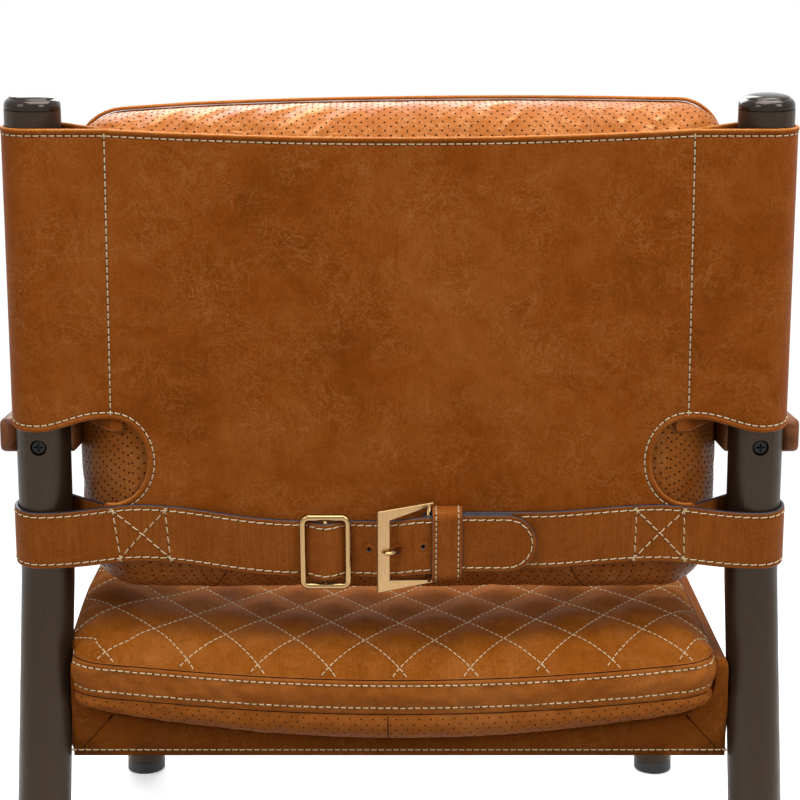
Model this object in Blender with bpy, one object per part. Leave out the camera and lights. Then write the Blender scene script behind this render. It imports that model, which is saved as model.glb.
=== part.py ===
"""Safari-style lounge armchair: bent steel posts, wooden arms, a leather back sling with a buckled belt,
a leather seat on a steel frame, a quilted seat cushion and a boxed, quilted back cushion.

Metres, +Z up. The chair faces -Y and its left side is +X. The origin is on the floor, under the middle
of the chair's box. The back is drawn in a reclined plane and the seat in a tilted plane, each with its
own function from flat coordinates to world coordinates.
"""

import bpy
import bmesh
from math import acos, atan2, cos, hypot, pi, radians, sin, sqrt, tan
from mathutils import Matrix, Vector

# Overall
CAP_TOP_HEIGHT = 0.850
RECLINE = radians(9.3)
SEAT_TILT = radians(6.5)
TOUCH_GAP = 0.0003
CUT_OVERRUN = 0.004
MERGE_DISTANCE = 0.00005
CREASE_ANGLE = radians(35)
BOLT_SIDES = 12
SCREW_SIDES = 16
HOLE_SIDES = 10

# Rear posts: spacing at the datum, a point on the post's axis from which the back is measured
POST_DIAMETER = 0.048
POST_WALL = 0.002
POST_SPACING = 0.643
BACK_SPLAY = radians(1.4)
LEG_SPLAY = radians(0.9)
LEG_RAKE = radians(5.7)
CAP_TOP_RISE = 0.327
BEND_DROP = 0.112
BEND_RADIUS = 0.110
BEND_STEPS = 4
POST_SIDES = 24

# Domed caps
CAP_DOME_HEIGHT = 0.0105
CAP_SKIRT_HEIGHT = 0.003
CAP_EDGE_RADIUS = 0.0065
CAP_SPIGOT_LENGTH = 0.022
CAP_SHOULDER_SHARES = (0.25, 0.5, 0.75)
CAP_CROWN_SHARES = (0.4, 0.8)
CAP_SEAT_RISE = CAP_TOP_RISE - CAP_DOME_HEIGHT - CAP_SKIRT_HEIGHT
SPIGOT_GAP = 0.0004
SPIGOT_CHAMFER = 0.0015

# Foot glides
GLIDE_HEIGHT = 0.014
GLIDE_SPIGOT_LENGTH = 0.026
GLIDE_INSET = 0.002

# Arms
ARM_WIDTH = 0.070
ARM_THICKNESS = 0.031
ARM_OUTWARD_SHIFT = 0.006
ARM_RISE = radians(2.5)
ARM_CENTRE_RISE = 0.018
ARM_FRONT_OVERHANG = 0.022
ARM_EDGE_RADIUS = 0.0055
ARM_CORNER_RADIUS = 0.020
ARM_CORNER_STEPS = 5
ARM_SOCKET_DEPTH = 0.007
COPE_SETBACK = 0.001

# Arm screws through the rear posts, with a long sleeve head inside the tube
SCREW_RISE = 0.0150
SCREW_HEAD_RADIUS = 0.0068
SCREW_HOLE_RADIUS = 0.0074
SCREW_HEAD_SINK = 0.0022
SCREW_SHANK_RADIUS = 0.0032
SCREW_SHANK_LENGTH = 0.052
SCREW_CROSS_LENGTH = 0.0078
SCREW_CROSS_WIDTH = 0.0017
SCREW_CROSS_DEPTH = 0.0022
HOLE_GAP = 0.0004

# Front posts, their plugs and the arm bolts
FRONT_POST_SEAT_REACH = 0.625
PLUG_LENGTH = 0.018
ARM_BOLT_SHANK_RADIUS = 0.0036
ARM_BOLT_HEAD_RADIUS = 0.0065
ARM_BOLT_HEAD_HEIGHT = 0.0055
ARM_BOLT_BITE = 0.016

# Seat plane: its datum is the cushion's rear top seam, set below and behind the back's datum
SEAT_SEAM_DROP = 0.1828
SEAT_SEAM_BACKSET = 0.024
SEAT_SIDE_GAP = 0.0006

# Seat frame of flat bars
BAR_THICKNESS = 0.006
BAR_HEIGHT = 0.084
SIDE_BAR_TOP_DROP = 0.0118
CROSS_BAR_THICKNESS = 0.010
CROSS_BAR_EDGE = 0.0042
CROSS_BAR_CORNER = 0.008
CROSS_BAR_CORNER_DROP = 0.005
BAR_CORNER = 0.0012
BAR_END_CHAMFER = 0.0048
FRAME_BOLT_SHANK_RADIUS = 0.0037
FRAME_BOLT_HEAD_RADIUS = 0.0062
FRAME_BOLT_HEAD_HEIGHT = 0.0045
FRAME_BOLT_BITE = 0.009
FRAME_BOLT_DROP = 0.0480

# Leather seat deck
DECK_LEATHER = 0.0025
DECK_ROLL = 0.0040
DECK_END_ROLL = 0.0060
DECK_HEM_DROP = 0.102
DECK_SETBACK = 0.016
DECK_WALL_DEPTH = 0.030
DECK_SHOULDER_INSET = 0.0273
DECK_SHOULDER_DROP = 0.0590
DECK_DISH = 0.0220
DECK_COLUMNS = 8
DECK_ROWS = 3
DECK_SLOPE_SHARES = ((0.40, 0.62),)

# Quilting
SEAT_DIAMOND = 0.064
BACK_DIAMOND = 0.062
QUILT_DEPTH = 0.006

# Seat cushion
SEAT_DIAMONDS_ACROSS = 9
SEAT_CUSHION_DEPTH = 0.672
SEAT_CROWN = 0.024
SEAT_BAND = 0.034
SEAT_SEAM_SAG = 0.014
SEAT_REAR_BOW = 0.012
SEAT_CORNER_RADIUS = 0.034
SEAT_BAND_BULGE = 0.0015
SEAT_UNDER_INSET = 0.030
SEAT_BOXING_SHARE = 0.5
DECK_REST_GAP = 0.0004

# Back cushion
BACK_CUSHION_HALF = 0.289
BACK_CUSHION_BOTTOM = -0.130
BACK_CUSHION_TOP = 0.309
BACK_CUSHION_REAR = 0.0200
BACK_CUSHION_THICKNESS = 0.088
BACK_CROWN = 0.020
BACK_REAR_INSET = 0.046
BACK_CORNER_RADIUS = 0.040
BACK_TOP_ARC = 0.008
BACK_DIAMONDS_ACROSS = 9
BACK_BOXING_SHARES = ((0.5, 0), (0.83, 0.5), (1, 1))

# Back sling
SLING_LEATHER = 0.0026
SLEEVE_GAP = 0.0005
SLING_TOP = 0.300
SLING_TOP_SAG = 0.007
SLING_BOTTOM = -0.085
SLEEVE_BOTTOM = 0.0305
SLEEVE_FRONT_BOTTOM = 0.038
SLEEVE_SEAM_INSET = 0.0655
SLEEVE_FLAP_LAP = 0.010
NOTCH_CENTRE_HALF = 0.256
NOTCH_REACH = 0.032
NOTCH_TOP = 0.043
NOTCH_FOOT = -0.036
TONGUE_HALF = 0.2635
NOTCH_STEPS = 14
SLEEVE_STEPS = 14
SLEEVE_HEM_SHARES = (0.25, 0.5, 0.75)
PANEL_SHARES = (1, 0.93, 0.8, 0.6, 0.4, 0.2, 0)
RISE_SHARES = (0, 0.3, 0.6, 1)
TONGUE_STEP = 0.0006

# Belt
BELT_WIDTH = 0.054
BELT_LEATHER = 0.0036
BELT_AT_POST = -0.0725
BELT_AT_BOX = -0.0635
BELT_AT_SLIDER = -0.0770
BELT_AT_BUCKLE = -0.0690
BOX_OUTER_HALF = 0.257
BOX_INNER_HALF = 0.209
BOX_END_MARGIN = 0.004
LAYER_GAP = 0.0004
BELT_TIP_HALF = 0.1225
BELT_TIP_STEPS = 5
LOOP_STEPS = 12

# Slider ring on the left strap
SLIDER_CENTRE = 0.0663
SLIDER_DROP = 0.0015
SLIDER_WIDTH = 0.0465
SLIDER_HEIGHT = 0.0716
SLIDER_BAR_RADIUS = 0.0030
SLIDER_CORNER_RADIUS = 0.0085
SLIDER_CENTRE_BAR_RADIUS = 0.0022
SLIDER_BAR_SIDES = 8
SLIDER_CORNER_STEPS = 4

# Buckle and prong. The prong's line is given as shares of its reach and of its height over the front bar
HINGE_HALF_PLACE = 0.0260
HINGE_BAR_RADIUS = 0.0025
BUCKLE_CENTRE = -0.0698
BUCKLE_OUTER_HEIGHT = 0.077
BUCKLE_REACH = 0.0503
BUCKLE_FRONT_WIDTH = 0.0116
BUCKLE_SIDE_WIDTH = 0.0102
BUCKLE_PLATE = 0.0036
BUCKLE_TAIL_WIDTH = 0.0030
BUCKLE_HINGE_MARGIN = 0.0045
BUCKLE_TILT = radians(25)
PRONG_CENTRE = -0.0710
PRONG_REACH = 0.0455
PRONG_RADIUS = 0.0021
PRONG_SIDES = 10
PRONG_LOOP_SIDES = 16
PRONG_LOOP_WALL = 0.0016
PRONG_LOOP_HALF_WIDTH = 0.0024
PRONG_LINE_SHARES = ((0.08, 0), (0.26, -0.6), (0.44, -0.95), (0.61, -0.33), (0.73, 0.5), (0.83, 1), (0.97, 1.05), (1, 0.95))
PRONG_TIP_SHARE = 0.45
PRONG_SLOT_HALF = 0.0030
PRONG_SLOT_GAP_ABOVE = 0.0005
PRONG_SLOT_GAP_BELOW = 0.0018
PRONG_WINDOW_HALF = 0.0052
BELT_HOLE_PLACES = (0.0267, -0.0209)
BELT_HOLE_RADIUS = 0.0022

# Fold of the right strap round the hinge bar, and the left strap's tail over it
FOLD_STEPS = 8
FOLD_END_HALF = 0.100
FOLD_RUN = 0.022
TAIL_RUN = 0.026
TAIL_CREST_PLACE = -0.006
BELT_TIP_ROUND_SHARE = 0.93

# Keeper
KEEPER_WIDTH = 0.0272
KEEPER_HEIGHT = 0.0680
KEEPER_LEATHER = 0.0026
KEEPER_START_HALF = 0.0288
KEEPER_INNER_GAP = 0.0005
KEEPER_OUTER_GAP = 0.0010
KEEPER_CORNER_RADIUS = 0.0075
KEEPER_CORNER_STEPS = 3

# Derived places shared by several pieces
POST_RADIUS = POST_DIAMETER / 2
DATUM_HEIGHT = CAP_TOP_HEIGHT - CAP_TOP_RISE * cos(RECLINE)
SEAT_SEAM_HEIGHT = DATUM_HEIGHT - SEAT_SEAM_DROP
SLEEVE_INNER_RADIUS = POST_RADIUS + SLEEVE_GAP
SLEEVE_OUTER_RADIUS = SLEEVE_INNER_RADIUS + SLING_LEATHER
BACK_REACH = SLING_TOP * sin(RECLINE) + SLEEVE_OUTER_RADIUS * cos(RECLINE)
SEAT_DROOP = (SEAT_SEAM_SAG + SEAT_BAND / 2) * sin(SEAT_TILT)
SEAT_REACH = (SEAT_CUSHION_DEPTH + SEAT_BAND_BULGE) * cos(SEAT_TILT) + SEAT_DROOP - SEAT_SEAM_BACKSET
DATUM_Y = (SEAT_REACH - BACK_REACH) / 2
BACK_AXIS = Vector((0, sin(RECLINE), cos(RECLINE)))
BACK_NORMAL = Vector((0, cos(RECLINE), -sin(RECLINE)))
SEAT_FORWARD = Vector((0, -cos(SEAT_TILT), sin(SEAT_TILT)))
SEAT_NORMAL = Vector((0, sin(SEAT_TILT), cos(SEAT_TILT)))
SIDES = (("left", 1), ("right", -1))

# Levels out of the back plane, at the middle of each layer of leather or bar
BELT_BOX_OUT = SLEEVE_OUTER_RADIUS + TOUCH_GAP + BELT_LEATHER / 2
BELT_RUN_OUT = SLEEVE_OUTER_RADIUS + TOUCH_GAP + KEEPER_LEATHER + KEEPER_INNER_GAP + BELT_LEATHER / 2
BELT_FRONT_OUT = SLEEVE_INNER_RADIUS - TOUCH_GAP - BELT_LEATHER / 2
LOOP_RADIUS = SLEEVE_INNER_RADIUS + BELT_LEATHER / 2
FOLD_RADIUS = HINGE_BAR_RADIUS + LAYER_GAP + BELT_LEATHER / 2
HINGE_OUT = BELT_RUN_OUT + FOLD_RADIUS
FOLD_OUT = HINGE_OUT + FOLD_RADIUS
SEWN_OUT = BELT_RUN_OUT + BELT_LEATHER + LAYER_GAP
TAIL_OUT = SEWN_OUT + BELT_LEATHER + LAYER_GAP
TAIL_OVER_FOLD = FOLD_OUT + BELT_LEATHER + LAYER_GAP
SLIDER_OUT = BELT_RUN_OUT + BELT_LEATHER / 2 + LAYER_GAP + SLIDER_BAR_RADIUS
WEAVE_OUT = SLIDER_OUT + SLIDER_CENTRE_BAR_RADIUS + LAYER_GAP + BELT_LEATHER / 2


def back_point(x, rise, out):
    """A point of the reclined back: across, up along the posts, and out towards the rear."""
    return Vector((x, DATUM_Y, DATUM_HEIGHT)) + BACK_AXIS * rise + BACK_NORMAL * out


def seat_point(x, forward, up):
    """A point of the tilted seat: across, forward from the cushion's rear seam, and up from that seam."""
    datum = Vector((x, DATUM_Y + SEAT_SEAM_BACKSET, SEAT_SEAM_HEIGHT))
    return datum + SEAT_FORWARD * forward + SEAT_NORMAL * up


def post_half(rise):
    """Half the distance between the rear posts' axes at a height along the back."""
    return POST_SPACING / 2 - rise * tan(BACK_SPLAY)


def rear_post_bend(side):
    return back_point(side * post_half(-BEND_DROP), -BEND_DROP, 0)


def rear_leg_point(side, height):
    """The axis of a rear post below its bend, at a height above the floor."""
    bend = rear_post_bend(side)
    fall = bend.z - height
    return Vector((bend.x + side * fall * tan(LEG_SPLAY), bend.y + fall * tan(LEG_RAKE), height))


RAIL_TOP_HEIGHT = seat_point(0, DECK_SETBACK, -SIDE_BAR_TOP_DROP + DECK_LEATHER).z
DECK_HALF = rear_leg_point(1, RAIL_TOP_HEIGHT).x - POST_RADIUS - SEAT_SIDE_GAP
SIDE_BAR_OUTER_HALF = DECK_HALF - DECK_LEATHER - TOUCH_GAP
SIDE_BAR_INNER_HALF = SIDE_BAR_OUTER_HALF - BAR_THICKNESS
DECK_WALL_HALF = SIDE_BAR_INNER_HALF - TOUCH_GAP - DECK_LEATHER
DECK_SHOULDER_HALF = DECK_WALL_HALF - DECK_SHOULDER_INSET
DECK_FRONT = SEAT_CUSHION_DEPTH - DECK_SETBACK
DECK_TOP_DROP = SIDE_BAR_TOP_DROP - DECK_LEATHER - TOUCH_GAP
SEAT_HALF = SEAT_DIAMONDS_ACROSS * SEAT_DIAMOND / 2
FRONT_POST_RAIL_HEIGHT = seat_point(0, FRONT_POST_SEAT_REACH, -DECK_TOP_DROP).z


def front_post_point(side, height):
    """The axis of a front post, which leans outward as it goes down and stands square from the side."""
    rail = seat_point(0, FRONT_POST_SEAT_REACH, -DECK_TOP_DROP)
    half = DECK_HALF + SEAT_SIDE_GAP + POST_RADIUS + (FRONT_POST_RAIL_HEIGHT - height) * tan(LEG_SPLAY)
    return Vector((side * half, rail.y, height))


def clear_scene():
    for old in list(bpy.data.objects):
        bpy.data.objects.remove(old)


def material(name, colour, roughness, metallic):
    made = bpy.data.materials.new(name)
    made.use_nodes = True
    shader = made.node_tree.nodes["Principled BSDF"]
    shader.inputs["Base Color"].default_value = (*colour, 1)
    shader.inputs["Roughness"].default_value = roughness
    shader.inputs["Metallic"].default_value = metallic
    return made


def add_mesh(name, bm, finish):
    """Turns a bmesh into a named object at the origin, shaded smooth with its creases kept."""
    bmesh.ops.remove_doubles(bm, verts=bm.verts, dist=MERGE_DISTANCE)
    bmesh.ops.dissolve_degenerate(bm, edges=bm.edges, dist=MERGE_DISTANCE)
    mesh = bpy.data.meshes.new(name)
    bm.to_mesh(mesh)
    bm.free()
    mesh.shade_smooth()
    mesh.set_sharp_from_angle(angle=CREASE_ANGLE)
    mesh.materials.append(finish)
    obj = bpy.data.objects.new(name, mesh)
    bpy.context.scene.collection.objects.link(obj)
    return obj


def outward(bm):
    bmesh.ops.recalc_face_normals(bm, faces=bm.faces)


def loft(bm, rings, closed=False):
    """Joins rings of equally many points. A closed loft meets its first ring again, else the ends are capped."""
    rows = [[bm.verts.new(p) for p in ring] for ring in rings]
    pairs = list(zip(rows, rows[1:]))
    if closed:
        pairs.append((rows[-1], rows[0]))
    count = len(rows[0])
    for low, high in pairs:
        for i in range(count):
            j = (i + 1) % count
            bm.faces.new((low[i], low[j], high[j], high[i]))
    if not closed:
        bm.faces.new(list(reversed(rows[0])))
        bm.faces.new(rows[-1])
    return rows


def perpendiculars(axis):
    """Two unit vectors square to an axis. The first lies as near X as it can."""
    axis = axis.normalized()
    guide = Vector((1, 0, 0)) if abs(axis.x) < cos(pi / 4) else Vector((0, 0, 1))
    first = (guide - axis * guide.dot(axis)).normalized()
    return first, axis.cross(first)


def ring(centre, axis, radius, sides):
    first, second = perpendiculars(axis)
    turn = 2 * pi / sides
    return [centre + (first * cos(turn * i) + second * sin(turn * i)) * radius for i in range(sides)]


def turned(bm, start, axis, profile, sides):
    """A turned solid: the profile lists (distance along the axis, radius)."""
    axis = axis.normalized()
    loft(bm, [ring(start + axis * along, axis, radius, sides) for along, radius in profile])


def cylinder_cutter(name, start, end, radius, sides=POST_SIDES):
    """A cylinder that a Boolean cuts with. It isn't part of the chair."""
    bm = bmesh.new()
    turned(bm, start, end - start, ((0, radius), ((end - start).length, radius)), sides)
    outward(bm)
    return as_cutter(add_mesh(name, bm, FINISHES["steel"]))


def as_cutter(obj):
    obj.hide_render = True
    obj.display_type = "WIRE"
    return obj


def cut(obj, cutter):
    modifier = obj.modifiers.new(cutter.name, "BOOLEAN")
    modifier.operation = "DIFFERENCE"
    modifier.solver = "EXACT"
    modifier.object = cutter
    return obj


def outline_prism(bm, outline, place, low, high):
    """A prism over a flat outline. place(u, v, height) gives the world point."""
    loft(bm, [[place(u, v, level) for u, v in outline] for level in (low, high)])


def thicken(obj, thickness, offset, even=True):
    modifier = obj.modifiers.new("leather", "SOLIDIFY")
    modifier.thickness = thickness
    modifier.offset = offset
    modifier.use_even_offset = even
    return obj


def bevel(obj, width, segments, angle=CREASE_ANGLE):
    modifier = obj.modifiers.new("edges", "BEVEL")
    modifier.width = width
    modifier.segments = segments
    modifier.limit_method = "ANGLE"
    modifier.angle_limit = angle
    return obj


def grid_faces(bm, rows):
    """Faces between rows of points, each row with as many points as the next."""
    verts = [[bm.verts.new(p) for p in row] for row in rows]
    for low, high in zip(verts, verts[1:]):
        for i in range(len(low) - 1):
            bm.faces.new((low[i], low[i + 1], high[i + 1], high[i]))
    return verts


def smooth_share(share):
    """Eases from 0 to 1."""
    share = min(max(share, 0), 1)
    return share * share * (3 - 2 * share)


def tube(name, stations, finish):
    """A bent tube with its wall. stations lists (point, direction) along its axis."""
    bm = bmesh.new()
    outer = [ring(point, axis, POST_RADIUS, POST_SIDES) for point, axis in stations]
    inner = [ring(point, axis, POST_RADIUS - POST_WALL, POST_SIDES) for point, axis in stations]
    loft(bm, outer + inner[::-1], closed=True)
    outward(bm)
    return add_mesh(name, bm, finish)


def rear_post_stations(side):
    """The axis of a rear post from its foot, round the bend, to the cap's seat."""
    bend = rear_post_bend(side)
    top = back_point(side * post_half(CAP_SEAT_RISE), CAP_SEAT_RISE, 0)
    foot = rear_leg_point(side, GLIDE_HEIGHT)
    lower = (bend - foot).normalized()
    upper = (top - bend).normalized()
    turn = lower.angle(upper)
    tangent = BEND_RADIUS * tan(turn / 2)
    start = bend - lower * tangent
    across = (upper - lower * upper.dot(lower)).normalized()
    stations = [(foot, lower)]
    for i in range(BEND_STEPS + 1):
        angle = turn * i / BEND_STEPS
        point = start + lower * (BEND_RADIUS * sin(angle)) + across * (BEND_RADIUS * (1 - cos(angle)))
        stations.append((point, lower * cos(angle) + across * sin(angle)))
    stations.append((top, upper))
    return stations


def back_line(side, rise):
    """The point and direction of a rear post's axis above its bend."""
    top = back_point(side * post_half(CAP_SEAT_RISE), CAP_SEAT_RISE, 0)
    direction = (top - rear_post_bend(side)).normalized()
    return back_point(side * post_half(rise), rise, 0), direction


def make_rear_post(name, side):
    post = tube(f"rear_post_{name}", rear_post_stations(side), FINISHES["gunmetal"])
    start, end = screw_line(side)
    rear_hole = cylinder_cutter(f"screw_head_cut_{name}", start, start + (end - start) / 2, SCREW_HOLE_RADIUS)
    front_hole = cylinder_cutter(f"screw_shank_cut_{name}", start, end, SCREW_SHANK_RADIUS + HOLE_GAP)
    cut(post, rear_hole)
    cut(post, front_hole)
    cut(post, frame_bolt_cutter(f"rear_post_bolt_cut_{name}", rear_bolt_place(side), side))
    return post


def screw_line(side):
    """The arm screw's line from behind the post's rear wall to past its front wall."""
    middle, _ = back_line(side, SCREW_RISE)
    reach = POST_RADIUS + CUT_OVERRUN
    return middle + screw_direction(side) * -reach, middle + screw_direction(side) * reach


def screw_direction(side):
    """Forward and square to the post, so that the screw runs into the arm's end."""
    _, axis = back_line(side, SCREW_RISE)
    forward = -BACK_NORMAL
    return (forward - axis * forward.dot(axis)).normalized()


def make_cap(name, side):
    """A domed cap: spigot in the tube, a short skirt over its end, and a low dome with a round shoulder."""
    start, axis = back_line(side, CAP_SEAT_RISE)
    inner = POST_RADIUS - POST_WALL - SPIGOT_GAP
    profile = [
        (-CAP_SPIGOT_LENGTH, inner - SPIGOT_CHAMFER),
        (SPIGOT_CHAMFER - CAP_SPIGOT_LENGTH, inner),
        (TOUCH_GAP, inner),
        (TOUCH_GAP, POST_RADIUS),
        (CAP_SKIRT_HEIGHT, POST_RADIUS),
    ]
    flat = POST_RADIUS - CAP_EDGE_RADIUS
    for share in CAP_SHOULDER_SHARES:
        angle = share * pi / 2
        rise = CAP_EDGE_RADIUS * sin(angle)
        profile.append((CAP_SKIRT_HEIGHT + rise, flat + CAP_EDGE_RADIUS * cos(angle)))
    crown = CAP_DOME_HEIGHT - profile[-1][0] + CAP_SKIRT_HEIGHT
    shoulder_height, shoulder_radius = profile[-1]
    for share in CAP_CROWN_SHARES:
        angle = share * pi / 2
        profile.append((shoulder_height + crown * sin(angle), shoulder_radius * cos(angle)))
    bm = bmesh.new()
    turned(bm, start, axis, profile, POST_SIDES)
    outward(bm)
    return add_mesh(f"post_cap_{name}", bm, FINISHES["gunmetal"])


def make_glide(name, foot_point, axis):
    """A plug for a leg's lower end. Its sole is cut level, so the leaning leg stands flat."""
    inner = POST_RADIUS - POST_WALL - SPIGOT_GAP
    axis = axis.normalized()
    seat = foot_point - axis * TOUCH_GAP
    bm = bmesh.new()
    rings = [
        ring(seat + axis * GLIDE_SPIGOT_LENGTH, axis, inner - SPIGOT_CHAMFER, POST_SIDES),
        ring(seat + axis * (GLIDE_SPIGOT_LENGTH - SPIGOT_CHAMFER), axis, inner, POST_SIDES),
        ring(seat, axis, inner, POST_SIDES),
        ring(seat, axis, POST_RADIUS, POST_SIDES),
        [on_level(p, axis, GLIDE_INSET) for p in ring(seat, axis, POST_RADIUS, POST_SIDES)],
        [on_level(p, axis, 0) for p in ring(seat, axis, POST_RADIUS - GLIDE_INSET, POST_SIDES)],
    ]
    loft(bm, rings)
    outward(bm)
    return add_mesh(name, bm, FINISHES["glide"])


def on_level(point, axis, height):
    """Slides a point along an axis to a height above the floor."""
    return point - axis * ((point.z - height) / axis.z)


def arm_frame(side):
    """The arm's rear datum on the post's axis, its forward direction and its upward normal."""
    forward = Vector((0, -cos(ARM_RISE), sin(ARM_RISE)))
    normal = Vector((0, sin(ARM_RISE), cos(ARM_RISE)))
    middle, _ = back_line(side, ARM_CENTRE_RISE)
    middle.x += side * ARM_OUTWARD_SHIFT
    return middle, forward, normal


def arm_length(side):
    middle, forward, _ = arm_frame(side)
    front = front_post_point(side, middle.z).y - POST_RADIUS - ARM_FRONT_OVERHANG
    return (front - middle.y) / forward.y


def arm_underside_height(side):
    """Where the front post's axis meets the arm's underside."""
    middle, forward, normal = arm_frame(side)
    post = front_post_point(side, middle.z)
    along = (post.y - middle.y) / forward.y
    return (middle + forward * along - normal * ARM_THICKNESS / 2).z


def make_arm(name, side):
    """A wooden arm: rounded front corners, eased edges, a saddle for the rear post and a socket for the front."""
    middle, forward, normal = arm_frame(side)
    length = arm_length(side)
    half = ARM_WIDTH / 2

    def place(u, v, level):
        return middle + Vector((u, 0, 0)) + forward * v + normal * level

    outline = [(-half, COPE_SETBACK), (half, COPE_SETBACK)]
    for corner, start in ((1, 0), (-1, pi / 2)):
        for i in range(ARM_CORNER_STEPS + 1):
            angle = start + pi / 2 * i / ARM_CORNER_STEPS
            centre = corner * (half - ARM_CORNER_RADIUS)
            outline.append((
                centre + ARM_CORNER_RADIUS * cos(angle),
                length - ARM_CORNER_RADIUS + ARM_CORNER_RADIUS * sin(angle),
            ))
    bm = bmesh.new()
    outline_prism(bm, outline, place, -ARM_THICKNESS / 2, ARM_THICKNESS / 2)
    outward(bm)
    arm = add_mesh(f"arm_{name}", bm, FINISHES["wood"])
    bevel(arm, ARM_EDGE_RADIUS, 3)
    low, axis = back_line(side, ARM_CENTRE_RISE - ARM_THICKNESS)
    high = low + axis * (ARM_THICKNESS * 2)
    cut(arm, cylinder_cutter(f"arm_saddle_cut_{name}", low, high, POST_RADIUS + SLEEVE_GAP))
    start, end = screw_line(side)
    reach = (end - start).normalized() * (SCREW_SHANK_LENGTH + CUT_OVERRUN)
    cut(arm, cylinder_cutter(f"arm_screw_cut_{name}", end - reach / 2, end + reach, SCREW_SHANK_RADIUS + HOLE_GAP, BOLT_SIDES))
    top = front_post_top(side)
    post_axis = front_post_axis(side)
    below = top - post_axis * (ARM_SOCKET_DEPTH * 4)
    cut(arm, cylinder_cutter(f"arm_socket_cut_{name}", below, top + post_axis * TOUCH_GAP, POST_RADIUS + SLEEVE_GAP))
    bolt_end = top + post_axis * (ARM_BOLT_BITE + CUT_OVERRUN)
    cut(arm, cylinder_cutter(f"arm_bolt_cut_{name}", below, bolt_end, ARM_BOLT_SHANK_RADIUS + HOLE_GAP, BOLT_SIDES))
    return arm


def front_post_axis(side):
    return (front_post_point(side, DATUM_HEIGHT) - front_post_point(side, 0)).normalized()


def front_post_top(side):
    """The front post's upper end, inside the arm's socket."""
    return front_post_point(side, arm_underside_height(side) + ARM_SOCKET_DEPTH)


def make_front_post(name, side):
    axis = front_post_axis(side)
    foot = front_post_point(side, GLIDE_HEIGHT)
    post = tube(f"front_post_{name}", [(foot, axis), (front_post_top(side), axis)], FINISHES["gunmetal"])
    return cut(post, frame_bolt_cutter(f"front_post_bolt_cut_{name}", front_bolt_place(side), side))


def make_front_plug(name, side):
    """A turned plug, flush with the front post's top and bored for the arm bolt."""
    axis = front_post_axis(side)
    top = front_post_top(side)
    outer = POST_RADIUS - POST_WALL - SPIGOT_GAP
    bore = ARM_BOLT_SHANK_RADIUS + HOLE_GAP
    profile = ((0, bore), (0, outer), (-PLUG_LENGTH, outer), (-PLUG_LENGTH, bore))
    bm = bmesh.new()
    loft(bm, [ring(top + axis * along, axis, radius, POST_SIDES) for along, radius in profile], closed=True)
    outward(bm)
    return add_mesh(f"front_post_plug_{name}", bm, FINISHES["steel"])


def make_arm_bolt(name, side):
    """A bolt up through the plug into the arm."""
    axis = front_post_axis(side)
    seat = front_post_top(side) - axis * (PLUG_LENGTH + TOUCH_GAP)
    profile = (
        (-ARM_BOLT_HEAD_HEIGHT, ARM_BOLT_HEAD_RADIUS),
        (0, ARM_BOLT_HEAD_RADIUS),
        (0, ARM_BOLT_SHANK_RADIUS),
        (PLUG_LENGTH + ARM_BOLT_BITE, ARM_BOLT_SHANK_RADIUS),
    )
    bm = bmesh.new()
    turned(bm, seat, axis, profile, BOLT_SIDES)
    outward(bm)
    return add_mesh(f"arm_front_bolt_{name}", bm, FINISHES["steel"])


def make_arm_screw(name, side):
    """The screw that holds the arm's rear end. Its long head fills the tube from wall to wall."""
    direction = screw_direction(side)
    bore = (POST_RADIUS - POST_WALL) * cos(pi / POST_SIDES)
    sleeve = POST_RADIUS - SCREW_HEAD_SINK + sqrt(bore ** 2 - SCREW_HEAD_RADIUS ** 2) - TOUCH_GAP
    chamfer = SCREW_CROSS_DEPTH / 2
    profile = (
        (0, SCREW_HEAD_RADIUS - chamfer),
        (chamfer, SCREW_HEAD_RADIUS),
        (sleeve, SCREW_HEAD_RADIUS),
        (sleeve, SCREW_SHANK_RADIUS),
        (sleeve + SCREW_SHANK_LENGTH, SCREW_SHANK_RADIUS),
    )
    bm = bmesh.new()
    turned(bm, screw_face(side), direction, profile, SCREW_SIDES)
    outward(bm)
    screw = add_mesh(f"arm_rear_screw_{name}", bm, FINISHES["black_steel"])
    for turn in (0, 1):
        cut(screw, cross_cutter(f"screw_cross_{name}_{turn}", side, turn))
    return screw


def screw_face(side):
    """The middle of the screw's head, sunk a little below the post's rear surface."""
    middle, _ = back_line(side, SCREW_RISE)
    return middle - screw_direction(side) * (POST_RADIUS - SCREW_HEAD_SINK)


def cross_cutter(name, side, turn):
    """One slot of the cross in a screw's head."""
    direction = screw_direction(side)
    _, axis = back_line(side, SCREW_RISE)
    face = screw_face(side)
    across = direction.cross(axis)
    long, short = (axis, across) if turn else (across, axis)
    half_long, half_short = SCREW_CROSS_LENGTH / 2, SCREW_CROSS_WIDTH / 2
    outline = ((-half_long, -half_short), (half_long, -half_short), (half_long, half_short), (-half_long, half_short))
    return prism_cutter(
        name, outline, lambda u, v, level: face + long * u + short * v + direction * level,
        -CUT_OVERRUN, SCREW_CROSS_DEPTH,
    )


def prism_cutter(name, outline, place, low, high):
    bm = bmesh.new()
    outline_prism(bm, outline, place, low, high)
    outward(bm)
    return as_cutter(add_mesh(name, bm, FINISHES["steel"]))


def rear_bolt_place(side):
    """Where a seat frame bolt leaves the side rail: level with the rear post's axis."""
    forward = 0
    for _ in range(4):
        point = seat_point(0, forward, -FRAME_BOLT_DROP)
        forward += (point.y - rear_leg_point(side, point.z).y) / cos(SEAT_TILT)
    return seat_point(side * SIDE_BAR_INNER_HALF, forward, -FRAME_BOLT_DROP)


def front_bolt_place(side):
    return seat_point(side * SIDE_BAR_INNER_HALF, FRONT_POST_SEAT_REACH, -FRAME_BOLT_DROP)


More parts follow.
